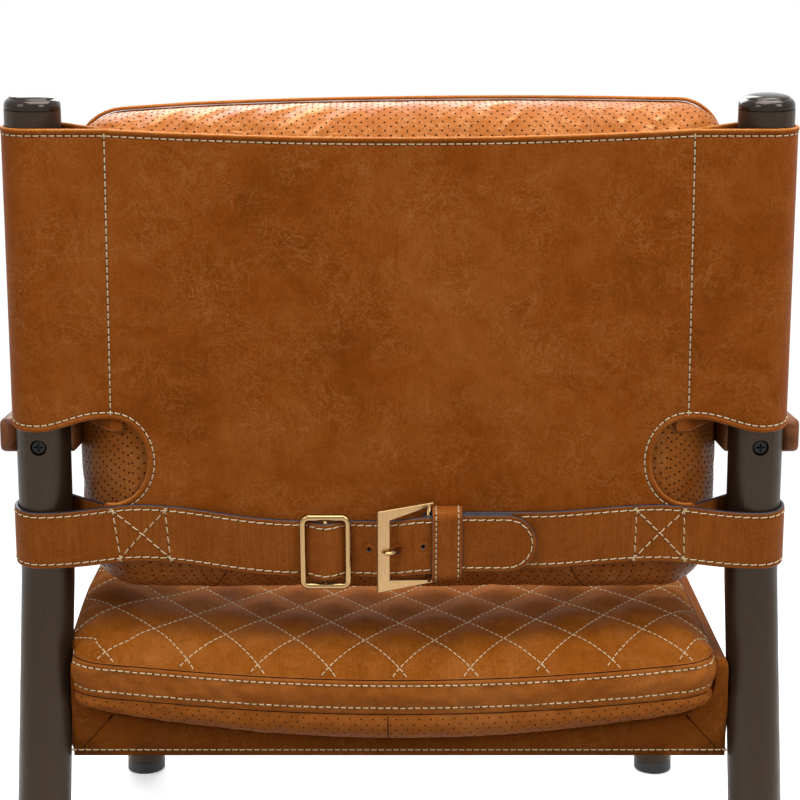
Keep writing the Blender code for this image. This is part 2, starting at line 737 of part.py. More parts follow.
def frame_bolt_end(place, side):
    """The bolt's far end, inside the post."""
    reach = DECK_HALF - SIDE_BAR_INNER_HALF + SEAT_SIDE_GAP + POST_WALL + FRAME_BOLT_BITE
    return place + Vector((side * reach, 0, 0))


def frame_bolt_cutter(name, place, side):
    start = place - Vector((side * CUT_OVERRUN, 0, 0))
    end = frame_bolt_end(place, side) + Vector((side * CUT_OVERRUN, 0, 0))
    return cylinder_cutter(name, start, end, FRAME_BOLT_SHANK_RADIUS + HOLE_GAP, BOLT_SIDES)


def make_frame_bolt(name, place, side):
    """A bolt from inside a side rail into a post."""
    profile = (
        (-TOUCH_GAP - FRAME_BOLT_HEAD_HEIGHT, FRAME_BOLT_HEAD_RADIUS),
        (-TOUCH_GAP, FRAME_BOLT_HEAD_RADIUS),
        (-TOUCH_GAP, FRAME_BOLT_SHANK_RADIUS),
        ((frame_bolt_end(place, side) - place).length, FRAME_BOLT_SHANK_RADIUS),
    )
    bm = bmesh.new()
    turned(bm, place, Vector((side, 0, 0)), profile, BOLT_SIDES)
    outward(bm)
    return add_mesh(f"seat_bolt_{name}", bm, FINISHES["steel"])


def make_side_rail(name, side):
    """A flat bar on edge, bolted to both posts of its side."""
    rear = DECK_SETBACK + DECK_LEATHER + TOUCH_GAP
    front = DECK_FRONT - DECK_LEATHER - TOUCH_GAP
    top = -SIDE_BAR_TOP_DROP
    chamfer = BAR_END_CHAMFER
    outline = (
        (rear, top - BAR_HEIGHT), (front, top - BAR_HEIGHT), (front, top - chamfer),
        (front - chamfer, top), (rear + chamfer, top), (rear, top - chamfer),
    )
    bm = bmesh.new()
    outline_prism(
        bm, outline, lambda u, v, level: seat_point(side * level, u, v), SIDE_BAR_INNER_HALF, SIDE_BAR_OUTER_HALF
    )
    outward(bm)
    rail = add_mesh(f"side_rail_{name}", bm, FINISHES["steel"])
    bevel(rail, BAR_CORNER, 1)
    for place, end in ((rear_bolt_place(side), "rear"), (front_bolt_place(side), "front")):
        cut(rail, frame_bolt_cutter(f"side_rail_{name}_{end}_cut", place, side))
    return rail


def deck_height(x):
    """The leather deck's height between its shoulders: dished across the seat."""
    share = min(abs(x) / DECK_SHOULDER_HALF, 1)
    return -DECK_SHOULDER_DROP - DECK_DISH * (1 - share * share)


def make_cross_rail(name, forward):
    """The front or rear bar, dished along its top as the leather hangs, its corners clear of the bolts."""
    half = SIDE_BAR_INNER_HALF - TOUCH_GAP
    drop = DECK_LEATHER + TOUCH_GAP
    bottom = -SIDE_BAR_TOP_DROP - BAR_HEIGHT
    shoulder = half - CROSS_BAR_CORNER
    corner = deck_height(half) - drop
    xs = [DECK_SHOULDER_HALF * (1 - 2 * i / DECK_COLUMNS) for i in range(DECK_COLUMNS + 1)]
    outline = [(-half, bottom), (half, bottom), (half, corner - CROSS_BAR_CORNER_DROP), (shoulder, corner)]
    outline += [(x, deck_height(x) - drop) for x in xs]
    outline += [(-shoulder, corner), (-half, corner - CROSS_BAR_CORNER_DROP)]
    bm = bmesh.new()
    outline_prism(
        bm, outline, lambda u, v, level: seat_point(u, level, v), forward, forward + CROSS_BAR_THICKNESS
    )
    outward(bm)
    return bevel(add_mesh(name, bm, FINISHES["steel"]), CROSS_BAR_EDGE, 2)


def deck_section():
    """Half of the deck's cross-section as (x, height), from its outer hem over the rail to the middle."""
    top = -DECK_TOP_DROP
    quarter = DECK_ROLL * (1 - sqrt(0.5))
    section = [
        (DECK_HALF, -DECK_HEM_DROP),
        (DECK_HALF, top - DECK_ROLL),
        (DECK_HALF - quarter, top - quarter),
        (DECK_HALF - DECK_ROLL, top),
        (DECK_WALL_HALF + DECK_ROLL, top),
        (DECK_WALL_HALF + quarter, top - quarter),
        (DECK_WALL_HALF, top - DECK_ROLL),
        (DECK_WALL_HALF, -DECK_WALL_DEPTH),
    ]
    run = DECK_WALL_HALF - DECK_SHOULDER_HALF
    fall = DECK_SHOULDER_DROP - DECK_WALL_DEPTH
    for run_share, fall_share in DECK_SLOPE_SHARES:
        section.append((DECK_WALL_HALF - run * run_share, -DECK_WALL_DEPTH - fall * fall_share))
    for i in range(DECK_COLUMNS // 2 + 1):
        x = DECK_SHOULDER_HALF * (1 - 2 * i / DECK_COLUMNS)
        section.append((x, deck_height(x)))
    return section


def make_seat_deck():
    """The leather seat: one skin over the four rails, turned down all round and hanging dished between them."""
    half = deck_section()
    section = half + [(-x, height) for x, height in reversed(half[:-1])]
    quarter = DECK_END_ROLL * (1 - sqrt(0.5))
    ends = ((0, DECK_HEM_DROP), (0, DECK_END_ROLL), (quarter, quarter), (DECK_END_ROLL, 0))
    rows = [(DECK_SETBACK + inset, drop) for inset, drop in ends]
    span = DECK_FRONT - DECK_SETBACK - 2 * DECK_END_ROLL
    rows += [(DECK_SETBACK + DECK_END_ROLL + span * i / DECK_ROWS, 0) for i in range(1, DECK_ROWS)]
    rows += [(DECK_FRONT - inset, drop) for inset, drop in reversed(ends)]
    grid = []
    for forward, drop in rows:
        grid.append([seat_point(x, forward, max(height - drop, -DECK_HEM_DROP)) for x, height in section])
    bm = bmesh.new()
    grid_faces(bm, grid)
    bmesh.ops.remove_doubles(bm, verts=bm.verts, dist=MERGE_DISTANCE)
    outward(bm)
    if sum(face.normal.z * face.calc_area() for face in bm.faces) < 0:
        bmesh.ops.reverse_faces(bm, faces=bm.faces)
    deck = add_mesh("seat_deck", bm, FINISHES["leather"])
    thicken(deck, DECK_LEATHER, -1, even=False)
    for name, side in SIDES:
        cut(deck, frame_bolt_cutter(f"deck_rear_bolt_cut_{name}", rear_bolt_place(side), side))
        cut(deck, frame_bolt_cutter(f"deck_front_bolt_cut_{name}", front_bolt_place(side), side))
    return deck


def rounded_place(u, v, half_u, half_v, radius):
    """Moves a point of a rectangle's grid so that the rectangle's outline has round corners."""
    over_u = max(abs(u) - (half_u - radius), 0)
    over_v = max(abs(v) - (half_v - radius), 0)
    if not over_u or not over_v:
        return u, v
    scale = max(over_u, over_v) / hypot(over_u, over_v)
    pull_u = (half_u - radius) + over_u * scale
    pull_v = (half_v - radius) + over_v * scale
    return (pull_u if u > 0 else -pull_u), (pull_v if v > 0 else -pull_v)


def quilted_cushion(name, place, half_u, half_v, cells_u, cells_v, form):
    """A boxed cushion with a quilted, crowned face.

    The face is a grid of half diamonds. The stitches cross at every other grid point and draw the leather
    down there. form holds the corner radius, crown(u, v), seam(u, v), under(u, v), and the boxing's rings
    as (drop below the seam, share of the way on to the underside, inset).
    """
    bm = bmesh.new()
    grid = {}
    places = {}
    for j in range(cells_v + 1):
        for i in range(cells_u + 1):
            u, v = grid_place(i, j, cells_u, cells_v, half_u, half_v)
            u, v = rounded_place(u, v, half_u, half_v, form["corner"])
            on_edge = i in (0, cells_u) or j in (0, cells_v)
            sunk = 0 if on_edge or (i + j) % 2 else QUILT_DEPTH
            height = form["seam"](u, v) + (0 if on_edge else form["crown"](u, v) - sunk)
            grid[i, j] = bm.verts.new(place(u, v, height))
            places[i, j] = (u, v)
    for j in range(cells_v):
        for i in range(cells_u):
            a, b, c, d = grid[i, j], grid[i + 1, j], grid[i + 1, j + 1], grid[i, j + 1]
            halves = ((a, b, c), (a, c, d)) if (i + j) % 2 == 0 else ((a, b, d), (b, c, d))
            for half in halves:
                bm.faces.new(half)
    border = border_order(cells_u, cells_v)
    previous = [grid[key] for key in border]
    for drop, share, inset in form["boxing"]:
        current = []
        for key in border:
            u, v = drawn_in(places[key], half_u, half_v, inset)
            level = form["seam"](u, v) - drop
            current.append(bm.verts.new(place(u, v, level + (form["under"](u, v) - level) * share)))
        bridge(bm, previous, current)
        previous = current
    under = dict(zip(border, previous))
    for j in range(1, cells_v):
        for i in range(1, cells_u):
            u, v = drawn_in(grid_place(i, j, cells_u, cells_v, half_u, half_v), half_u, half_v, inset)
            under[i, j] = bm.verts.new(place(u, v, form["under"](u, v)))
    for j in range(cells_v):
        for i in range(cells_u):
            bm.faces.new((under[i, j], under[i, j + 1], under[i + 1, j + 1], under[i + 1, j]))
    outward(bm)
    return add_mesh(name, bm, FINISHES["leather"])


def grid_place(i, j, cells_u, cells_v, half_u, half_v):
    return half_u * (2 * i / cells_u - 1), half_v * (2 * j / cells_v - 1)


def drawn_in(point, half_u, half_v, inset):
    """Scales a point of the outline so that the outline shrinks by an inset all round."""
    return point[0] * (half_u - inset) / half_u, point[1] * (half_v - inset) / half_v


def border_order(cells_u, cells_v):
    """The grid's border counts in order round it."""
    bottom = [(i, 0) for i in range(cells_u)]
    right = [(cells_u, j) for j in range(cells_v)]
    top = [(i, cells_v) for i in range(cells_u, 0, -1)]
    left = [(0, j) for j in range(cells_v, 0, -1)]
    return bottom + right + top + left


def bridge(bm, first, second):
    count = len(first)
    for i in range(count):
        j = (i + 1) % count
        bm.faces.new((first[i], first[j], second[j], second[i]))


def crown_over(half_u, half_v, run, height):
    """A crown that climbs within a run of the border and then stays level."""
    def crown(u, v):
        inward = min(half_u - abs(u), half_v - abs(v))
        share = min(max(inward, 0) / run, 1)
        return height * sin(share * pi / 2)
    return crown


def make_seat_cushion():
    """Boxed seat cushion: quilted crown, a band between two seams, and perforated boxing drawn in below."""
    half_u = SEAT_HALF - SEAT_BAND_BULGE
    half_v = SEAT_CUSHION_DEPTH / 2

    def place(u, v, height):
        bow = SEAT_REAR_BOW * (1 - (u / half_u) ** 2) * smooth_share(-v / half_v)
        return seat_point(u, half_v + v - bow, height)

    def seam(u, v):
        return -SEAT_SEAM_SAG * (1 - min(abs(u) / half_u, 1) ** 2)

    def under(u, v):
        return deck_height(u) + DECK_REST_GAP

    form = {
        "corner": SEAT_CORNER_RADIUS,
        "crown": crown_over(half_u, half_v, 2 * SEAT_CROWN, SEAT_CROWN),
        "seam": seam,
        "boxing": (
            (SEAT_BAND / 2, 0, -SEAT_BAND_BULGE),
            (SEAT_BAND, 0, 0),
            (SEAT_BAND, SEAT_BOXING_SHARE, SEAT_UNDER_INSET / 3),
            (SEAT_BAND, 1, SEAT_UNDER_INSET),
        ),
        "under": under,
    }
    cells_v = round(2 * SEAT_CUSHION_DEPTH / SEAT_DIAMOND)
    cushion = quilted_cushion("seat_cushion", place, half_u, half_v, 2 * SEAT_DIAMONDS_ACROSS, cells_v, form)
    return set_origin(cushion, seat_point(0, half_v, 0))


def make_back_cushion():
    """Boxed back cushion, leaning on the sling: quilted front, perforated boxing, rear panel with round edges."""
    half_v = (BACK_CUSHION_TOP - BACK_CUSHION_BOTTOM) / 2
    middle = (BACK_CUSHION_TOP + BACK_CUSHION_BOTTOM) / 2

    def place(u, v, height):
        arc = BACK_TOP_ARC * (1 - (u / BACK_CUSHION_HALF) ** 2) * smooth_share(v / half_v)
        return back_point(u, middle + v + arc, BACK_CUSHION_REAR - BACK_CUSHION_THICKNESS - height)

    form = {
        "corner": BACK_CORNER_RADIUS,
        "crown": crown_over(BACK_CUSHION_HALF, half_v, 2 * BACK_CROWN, BACK_CROWN),
        "seam": lambda u, v: 0,
        "boxing": [(0, share, BACK_REAR_INSET * inset) for share, inset in BACK_BOXING_SHARES],
        "under": lambda u, v: -BACK_CUSHION_THICKNESS,
    }
    cells_v = round(4 * half_v / BACK_DIAMOND)
    cushion = quilted_cushion(
        "back_cushion", place, BACK_CUSHION_HALF, half_v, 2 * BACK_DIAMONDS_ACROSS, cells_v, form
    )
    return set_origin(cushion, back_point(0, middle, BACK_CUSHION_REAR))


def set_origin(obj, point):
    """Puts an object's origin at a world point without moving its surface."""
    obj.data.transform(Matrix.Translation(-point))
    obj.location = point
    return obj


def ribbon(name, stations, thickness):
    """A leather strip. stations lists (low edge, high edge) along it, at the middle of its thickness."""
    bm = bmesh.new()
    grid_faces(bm, stations)
    return thicken(add_mesh(name, bm, FINISHES["leather"]), thickness, 0)


def loop_path(radius, steps, angle):
    """Plan points (across from the post, out) round a post, from an angle in front of it to its rear."""
    turn = (pi / 2 - angle) / steps
    return [(radius * cos(angle + turn * i), radius * sin(angle + turn * i)) for i in range(steps + 1)]


def tangent_angle(across, out, radius):
    """The angle round a post at which a strip from a plan point meets it in front, as a tangent."""
    return atan2(out, across) + acos(radius / hypot(across, out)) - 2 * pi


def sling_stations():
    """Half of the sling's plan: (across, out, height of the lower edge), from the front flap's lap, round the
    post, along the sleeve's rear and then the panel to its middle."""
    post = POST_SPACING / 2
    seam = post - SLEEVE_SEAM_INSET
    radius = SLEEVE_INNER_RADIUS + SLING_LEATHER / 2
    lap_out = radius - SLING_LEATHER - TOUCH_GAP
    angle = tangent_angle(seam - post, lap_out, radius)
    points = [(seam - SLEEVE_FLAP_LAP, lap_out, SLEEVE_FRONT_BOTTOM), (seam, lap_out, SLEEVE_FRONT_BOTTOM)]
    for across, out in loop_path(radius, SLEEVE_STEPS, angle):
        share = smooth_share((out + radius) / (2 * radius))
        points.append((post + across, out, SLEEVE_FRONT_BOTTOM + (SLEEVE_BOTTOM - SLEEVE_FRONT_BOTTOM) * share))
    edge = TONGUE_HALF + TONGUE_STEP
    for share in SLEEVE_HEM_SHARES:
        low = SLEEVE_BOTTOM + (NOTCH_TOP - SLEEVE_BOTTOM) * smooth_share(share)
        points.append((post + (edge - post) * share, radius, low))
    return points + [(TONGUE_HALF * share, radius, SLING_BOTTOM) for share in PANEL_SHARES]


def sling_column(across, out, low):
    """One column of the sling's points. Its top edge sags between the seams, its sleeves follow the posts."""
    share = min(abs(across) / (POST_SPACING / 2 - SLEEVE_SEAM_INSET), 1)
    top = SLING_TOP - SLING_TOP_SAG * (1 - share * share)
    column = []
    for part in RISE_SHARES:
        rise = low + (top - low) * part
        shift = (post_half(rise) - POST_SPACING / 2) * share
        column.append(back_point(across + (shift if across > 0 else -shift), rise, out))
    return column


def make_back_sling():
    """The leather back: sleeves round both posts, C-shaped notches, and a panel that the belt crosses."""
    half = sling_stations()
    stations = half + [(-across, out, low) for across, out, low in reversed(half[:-1])]
    bm = bmesh.new()
    grid_faces(bm, [sling_column(*station) for station in stations])
    sling = thicken(add_mesh("back_sling", bm, FINISHES["leather"]), SLING_LEATHER, 0)
    for name, side in SIDES:
        cut(sling, notch_cutter(f"notch_cut_{name}", side))
    return sling


def notch_cutter(name, side):
    """Half an ellipse through the panel, open outward between the sleeve and the tongue."""
    middle = (NOTCH_TOP + NOTCH_FOOT) / 2
    height = (NOTCH_TOP - NOTCH_FOOT) / 2
    edge = TONGUE_HALF + CUT_OVERRUN
    outline = [(edge, middle - height), (edge, middle + height)]
    for i in range(NOTCH_STEPS + 1):
        angle = pi / 2 + pi * i / NOTCH_STEPS
        outline.append((NOTCH_CENTRE_HALF + NOTCH_REACH * cos(angle), middle + height * sin(angle)))
    return prism_cutter(
        name, outline, lambda u, v, level: back_point(side * u, v, level),
        SLEEVE_INNER_RADIUS - TOUCH_GAP / 2, SLEEVE_OUTER_RADIUS + CUT_OVERRUN,
    )


def belt_centre(across):
    """Height of the belt's middle line, with across positive on the left."""
    box = (BOX_OUTER_HALF + BOX_INNER_HALF) / 2
    knots = (
        (-POST_SPACING / 2, BELT_AT_POST), (-box, BELT_AT_BOX), (-BELT_TIP_HALF, BELT_AT_BUCKLE),
        (-HINGE_HALF_PLACE, BELT_AT_BUCKLE), (SLIDER_CENTRE - SLIDER_WIDTH / 2, BELT_AT_SLIDER),
        (SLIDER_CENTRE + SLIDER_WIDTH / 2, BELT_AT_SLIDER), (box, BELT_AT_BOX), (POST_SPACING / 2, BELT_AT_POST),
    )
    for (start, low), (end, high) in zip(knots, knots[1:]):
        if across <= end:
            return low + (high - low) * smooth_share((across - start) / (end - start))
    return knots[-1][1]


def belt_station(across, out, side=1, half_width=BELT_WIDTH / 2):
    """The strap's low and high edge at a plan point. side mirrors the plan, not the middle line."""
    centre = belt_centre(side * across)
    share = smooth_share((across - BOX_OUTER_HALF) / (POST_SPACING / 2 - BOX_OUTER_HALF))
    edges = []
    for edge in (-1, 1):
        rise = centre + half_width * edge
        edges.append(back_point(side * (across + (post_half(rise) - POST_SPACING / 2) * share), rise, out))
    return edges


def belt_loop():
    """Plan points of the loop from its sewn end in front of the sling, round the post, to the box of stitches."""
    post = POST_SPACING / 2
    angle = tangent_angle(TONGUE_HALF - post, BELT_FRONT_OUT, LOOP_RADIUS)
    points = [(BOX_INNER_HALF - BOX_END_MARGIN, BELT_FRONT_OUT), (TONGUE_HALF, BELT_FRONT_OUT)]
    points += [(post + across, out) for across, out in loop_path(LOOP_RADIUS, LOOP_STEPS, angle)]
    return points + [(TONGUE_HALF + CUT_OVERRUN, BELT_BOX_OUT), (BOX_INNER_HALF, BELT_BOX_OUT)]


def eased(start, end, steps):
    """Plan points from one plan point to another, easing the height out of the plane."""
    points = []
    for i in range(1, steps + 1):
        share = i / steps
        across = start[0] + (end[0] - start[0]) * share
        points.append((across, start[1] + (end[1] - start[1]) * smooth_share(share)))
    return points


def make_left_belt():
    """The left strap: loop, slider, over its centre bar, under the buckle's front bar, over the fold, the tail."""
    window = SLIDER_WIDTH / 2 - SLIDER_BAR_RADIUS
    points = belt_loop()
    for across, out, steps in (
        ((BOX_INNER_HALF + SLIDER_CENTRE) / 2, BELT_RUN_OUT, 3),
        (SLIDER_CENTRE + window, BELT_RUN_OUT, 1),
        (SLIDER_CENTRE, WEAVE_OUT, 4),
        (SLIDER_CENTRE - window, BELT_RUN_OUT, 4),
        (TAIL_CREST_PLACE, TAIL_OVER_FOLD, 6),
        (-HINGE_HALF_PLACE - FOLD_RADIUS / 2, TAIL_OVER_FOLD, 1),
        (-HINGE_HALF_PLACE - TAIL_RUN, TAIL_OUT, 4),
    ):
        points += eased(points[-1], (across, out), steps)
    stations = [belt_station(across, out) for across, out in points]
    straight = BELT_TIP_HALF - BELT_WIDTH / 2
    for i in range(BELT_TIP_STEPS + 1):
        angle = pi / 2 * BELT_TIP_ROUND_SHARE * i / BELT_TIP_STEPS
        across = straight + BELT_WIDTH / 2 * sin(angle)
        stations.append(belt_station(-across, TAIL_OUT, half_width=BELT_WIDTH / 2 * cos(angle)))
    belt = ribbon("belt_left", stations, BELT_LEATHER)
    cut(belt, prong_slot_cutter())
    for i, across in enumerate(BELT_HOLE_PLACES):
        cut(belt, hole_cutter(f"belt_hole_cut_{i}", across))
    return belt


def hole_cutter(name, across):
    """A round punched hole, square to the back plane."""
    centre = belt_centre(across)
    start = back_point(across, centre, BELT_RUN_OUT - BELT_LEATHER)
    end = back_point(across, centre, TAIL_OVER_FOLD + BELT_LEATHER)
    return cylinder_cutter(name, start, end, BELT_HOLE_RADIUS, HOLE_SIDES)


def prong_slot_cutter():
    """The hole in use, drawn out along the prong that leans through it."""
    line = prong_line()[1:-2]
    below = PRONG_RADIUS + PRONG_SLOT_GAP_BELOW
    above = PRONG_RADIUS + PRONG_SLOT_GAP_ABOVE
    outline = [(reach, out - below) for reach, out in line]
    outline += [(reach, out + above) for reach, out in reversed(line)]
    rise = PRONG_CENTRE - BUCKLE_CENTRE
    return prism_cutter(
        "prong_slot_cut", outline, lambda u, v, level: buckle_point(u, rise + level, v),
        -PRONG_SLOT_HALF, PRONG_SLOT_HALF,
    )


def make_right_belt():
    """The right strap: loop, run to the buckle, round the hinge bar and back over itself to its sewn end."""
    points = belt_loop()
    middle = (BOX_INNER_HALF + HINGE_HALF_PLACE) / 2
    points += eased(points[-1], (middle, BELT_RUN_OUT), 3)
    points.append((HINGE_HALF_PLACE, BELT_RUN_OUT))
    for i in range(1, FOLD_STEPS + 1):
        angle = -pi / 2 - pi * i / FOLD_STEPS
        points.append((HINGE_HALF_PLACE + FOLD_RADIUS * cos(angle), HINGE_OUT + FOLD_RADIUS * sin(angle)))
    points += eased(points[-1], (HINGE_HALF_PLACE + FOLD_RUN, SEWN_OUT), 4)
    points.append((FOLD_END_HALF, SEWN_OUT))
    stations = [belt_station(across, out, side=-1) for across, out in points]
    belt = ribbon("belt_right", stations, BELT_LEATHER)
    reach = FOLD_RADIUS + BELT_LEATHER
    half = PRONG_WINDOW_HALF
    outline = ((-reach, -half), (reach, -half), (reach, half), (-reach, half))
    return cut(belt, prism_cutter(
        "prong_window_cut", outline,
        lambda u, v, level: back_point(-HINGE_HALF_PLACE + u, PRONG_CENTRE + v, level),
        BELT_RUN_OUT - BELT_LEATHER, FOLD_OUT + BELT_LEATHER,
    ))


def make_slider_ring():
    """A rounded rectangle of round bar with a thinner bar across its middle, which the strap goes over."""
    centre = belt_centre(SLIDER_CENTRE) - SLIDER_DROP
    radius = SLIDER_CORNER_RADIUS - SLIDER_BAR_RADIUS
    half_u = SLIDER_WIDTH / 2 - SLIDER_BAR_RADIUS
    half_v = SLIDER_HEIGHT / 2 - SLIDER_BAR_RADIUS
    rings = []
    for sign_u, sign_v, quarter in ((1, 1, 0), (-1, 1, 1), (-1, -1, 2), (1, -1, 3)):
        for i in range(SLIDER_CORNER_STEPS + 1):
            angle = pi / 2 * (quarter + i / SLIDER_CORNER_STEPS)
            u = sign_u * (half_u - radius) + radius * cos(angle)
            v = sign_v * (half_v - radius) + radius * sin(angle)
            middle = back_point(SLIDER_CENTRE + u, centre + v, SLIDER_OUT)
            outer = Vector((1, 0, 0)) * cos(angle) + BACK_AXIS * sin(angle)
            rings.append(round_ring(middle, outer, BACK_NORMAL, SLIDER_BAR_RADIUS, SLIDER_BAR_SIDES))
    bm = bmesh.new()
    loft(bm, rings, closed=True)
    outward(bm)
    frame = add_mesh("slider_ring", bm, FINISHES["brass"])
    low = back_point(SLIDER_CENTRE, centre - half_v, SLIDER_OUT)
    high = back_point(SLIDER_CENTRE, centre + half_v, SLIDER_OUT)
    return unite(frame, cylinder_cutter("slider_centre_bar", low, high, SLIDER_CENTRE_BAR_RADIUS, SLIDER_BAR_SIDES))


def round_ring(middle, first, second, radius, sides):
    """A circle of points in the plane of two unit vectors."""
    angles = [2 * pi * i / sides for i in range(sides)]
    return [middle + (first * cos(angle) + second * sin(angle)) * radius for angle in angles]


def unite(obj, other):
    modifier = obj.modifiers.new(other.name, "BOOLEAN")
    modifier.operation = "UNION"
    modifier.solver = "EXACT"
    modifier.object = other
    return obj


def buckle_point(reach, rise, out):
    """A point of the buckle's own plane, which is tilted out about the hinge bar."""
    across = -HINGE_HALF_PLACE + reach * cos(BUCKLE_TILT) - out * sin(BUCKLE_TILT)
    level = HINGE_OUT + reach * sin(BUCKLE_TILT) + out * cos(BUCKLE_TILT)
    return back_point(across, BUCKLE_CENTRE + rise, level)


def make_buckle_frame():
    """A flat frame with square corners: a broad front bar, sides that taper to the hinge, and the hinge bar."""
    half = BUCKLE_OUTER_HEIGHT / 2
    inner = BUCKLE_REACH - BUCKLE_FRONT_WIDTH
    tail = -BUCKLE_HINGE_MARGIN
    side = half - BUCKLE_SIDE_WIDTH
    end = half - BUCKLE_TAIL_WIDTH
    outline = ((tail, half), (tail, end), (inner, side), (inner, -side), (tail, -end), (tail, -half))
    outline += ((BUCKLE_REACH, -half), (BUCKLE_REACH, half))
    bm = bmesh.new()
    outline_prism(bm, outline, buckle_point, -BUCKLE_PLATE / 2, BUCKLE_PLATE / 2)
    outward(bm)
    frame = add_mesh("buckle_frame", bm, FINISHES["brass"])
    low = buckle_point(0, BUCKLE_TAIL_WIDTH / 2 - half, 0)
    high = buckle_point(0, half - BUCKLE_TAIL_WIDTH / 2, 0)
    unite(frame, cylinder_cutter("buckle_hinge_bar", low, high, HINGE_BAR_RADIUS, BOLT_SIDES))
    return set_origin(frame, buckle_point(0, 0, 0))


def prong_line():
    """The prong's line in the buckle's plane, as (reach, out)."""
    rest = BUCKLE_PLATE / 2 + TOUCH_GAP + PRONG_RADIUS
    return [(PRONG_REACH * along, rest * out) for along, out in PRONG_LINE_SHARES]


def make_prong():
    """The prong: a loop round the hinge bar and a bent bar that comes out to rest on the buckle's front bar."""
    rise = PRONG_CENTRE - BUCKLE_CENTRE
    inner = HINGE_BAR_RADIUS + TOUCH_GAP
    outer = inner + PRONG_LOOP_WALL
    across = (buckle_point(BUCKLE_REACH, 0, 0) - buckle_point(0, 0, 0)).normalized()
    outward_axis = (buckle_point(0, 0, BUCKLE_PLATE) - buckle_point(0, 0, 0)).normalized()
    rings = []
    for radius, end in ((inner, -1), (outer, -1), (outer, 1), (inner, 1)):
        middle = buckle_point(0, rise + end * PRONG_LOOP_HALF_WIDTH, 0)
        rings.append(round_ring(middle, across, outward_axis, radius, PRONG_LOOP_SIDES))
    loop = bmesh.new()
    loft(loop, rings, closed=True)
    outward(loop)
    prong = add_mesh("buckle_prong", loop, FINISHES["brass"])
    line = prong_line()
    rings = []
    for i, (reach, out) in enumerate(line):
        before, after = line[max(i - 1, 0)], line[min(i + 1, len(line) - 1)]
        slope = atan2(after[1] - before[1], after[0] - before[0])
        upward = outward_axis * cos(slope) - across * sin(slope)
        radius = PRONG_RADIUS * (PRONG_TIP_SHARE if i == len(line) - 1 else 1)
        rings.append(round_ring(buckle_point(reach, rise, out), upward, BACK_AXIS, radius, PRONG_SIDES))
    blade = bmesh.new()
    loft(blade, rings)
    outward(blade)
    unite(prong, as_cutter(add_mesh("prong_blade", blade, FINISHES["brass"])))
    return set_origin(prong, buckle_point(0, rise, 0))


def keeper_ring(across, high, wall):
    """A round-cornered loop round the belt's layers in the plane square to the belt, walls inside its outline."""
    low = BELT_RUN_OUT - BELT_LEATHER / 2 - KEEPER_INNER_GAP - KEEPER_LEATHER + wall
    high = high - wall
    half = KEEPER_HEIGHT / 2 - wall
    radius = KEEPER_CORNER_RADIUS - wall
    points = []
    for rise_sign, level, quarter in ((1, high, 0), (-1, high, 1), (-1, low, 2), (1, low, 3)):
        for i in range(KEEPER_CORNER_STEPS + 1):
            angle = pi / 2 * (quarter + i / KEEPER_CORNER_STEPS)
            rise = rise_sign * (half - radius) + radius * cos(angle)
            out = level + radius * (sin(angle) - (1 if level == high else -1))
            points.append(back_point(across, BUCKLE_CENTRE + rise, out))
    return points


def make_keeper():
    """A leather loop round the belt's layers. It stands higher at its end by the buckle."""
    first = -KEEPER_START_HALF
    last = first - KEEPER_WIDTH
    near = TAIL_OVER_FOLD + BELT_LEATHER / 2 + KEEPER_OUTER_GAP + KEEPER_LEATHER
    far = TAIL_OUT + BELT_LEATHER / 2 + KEEPER_OUTER_GAP + KEEPER_LEATHER
    rings = [
        keeper_ring(first, near, 0), keeper_ring(last, far, 0),
        keeper_ring(last, far, KEEPER_LEATHER), keeper_ring(first, near, KEEPER_LEATHER),
    ]
    bm = bmesh.new()
    loft(bm, rings, closed=True)
    outward(bm)
    keeper = add_mesh("belt_keeper", bm, FINISHES["leather"])
    return set_origin(keeper, back_point((first + last) / 2, BUCKLE_CENTRE, BELT_RUN_OUT))


FINISHES = {}


def make_finishes():
    FINISHES["gunmetal"] = material("gunmetal", (0.045, 0.036, 0.031), 0.35, 0.8)
    FINISHES["steel"] = material("steel", (0.30, 0.30, 0.31), 0.45, 0.9)
    FINISHES["black_steel"] = material("black_steel", (0.012, 0.012, 0.012), 0.4, 0.6)
    FINISHES["brass"] = material("brass", (0.78, 0.60, 0.33), 0.18, 1.0)
    FINISHES["wood"] = material("wood", (0.20, 0.075, 0.04), 0.45, 0.0)
    FINISHES["leather"] = material("leather", (0.36, 0.13, 0.035), 0.45, 0.0)
    FINISHES["glide"] = material("glide", (0.02, 0.02, 0.02), 0.6, 0.0)


def main():
    clear_scene()
    make_finishes()
    for name, side in SIDES:
        make_rear_post(name, side)
        make_cap(name, side)
        make_front_post(name, side)
        lower = rear_leg_point(side, DATUM_HEIGHT) - rear_leg_point(side, 0)
        make_glide(f"foot_rear_{name}", rear_leg_point(side, GLIDE_HEIGHT), lower)
        make_glide(f"foot_front_{name}", front_post_point(side, GLIDE_HEIGHT), front_post_axis(side))
        make_arm(name, side)
        make_arm_screw(name, side)
        make_front_plug(name, side)
        make_arm_bolt(name, side)
        make_side_rail(name, side)
        make_frame_bolt(f"rear_{name}", rear_bolt_place(side), side)
        make_frame_bolt(f"front_{name}", front_bolt_place(side), side)
    inset = DECK_LEATHER + TOUCH_GAP
    make_cross_rail("rear_rail", DECK_SETBACK + inset)
    make_cross_rail("front_rail", DECK_FRONT - inset - CROSS_BAR_THICKNESS)
    make_seat_deck()
    make_seat_cushion()
    make_back_cushion()
    make_back_sling()
    make_left_belt()
    make_right_belt()
    make_slider_ring()
    make_buckle_frame()
    make_prong()
    make_keeper()


main()
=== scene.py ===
from math import acos, atan2, cos, hypot, pi, radians, sin, tan

import bmesh
import bpy
import numpy as np
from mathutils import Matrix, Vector
from mathutils.bvhtree import BVHTree
from mathutils.geometry import delaunay_2d_cdt


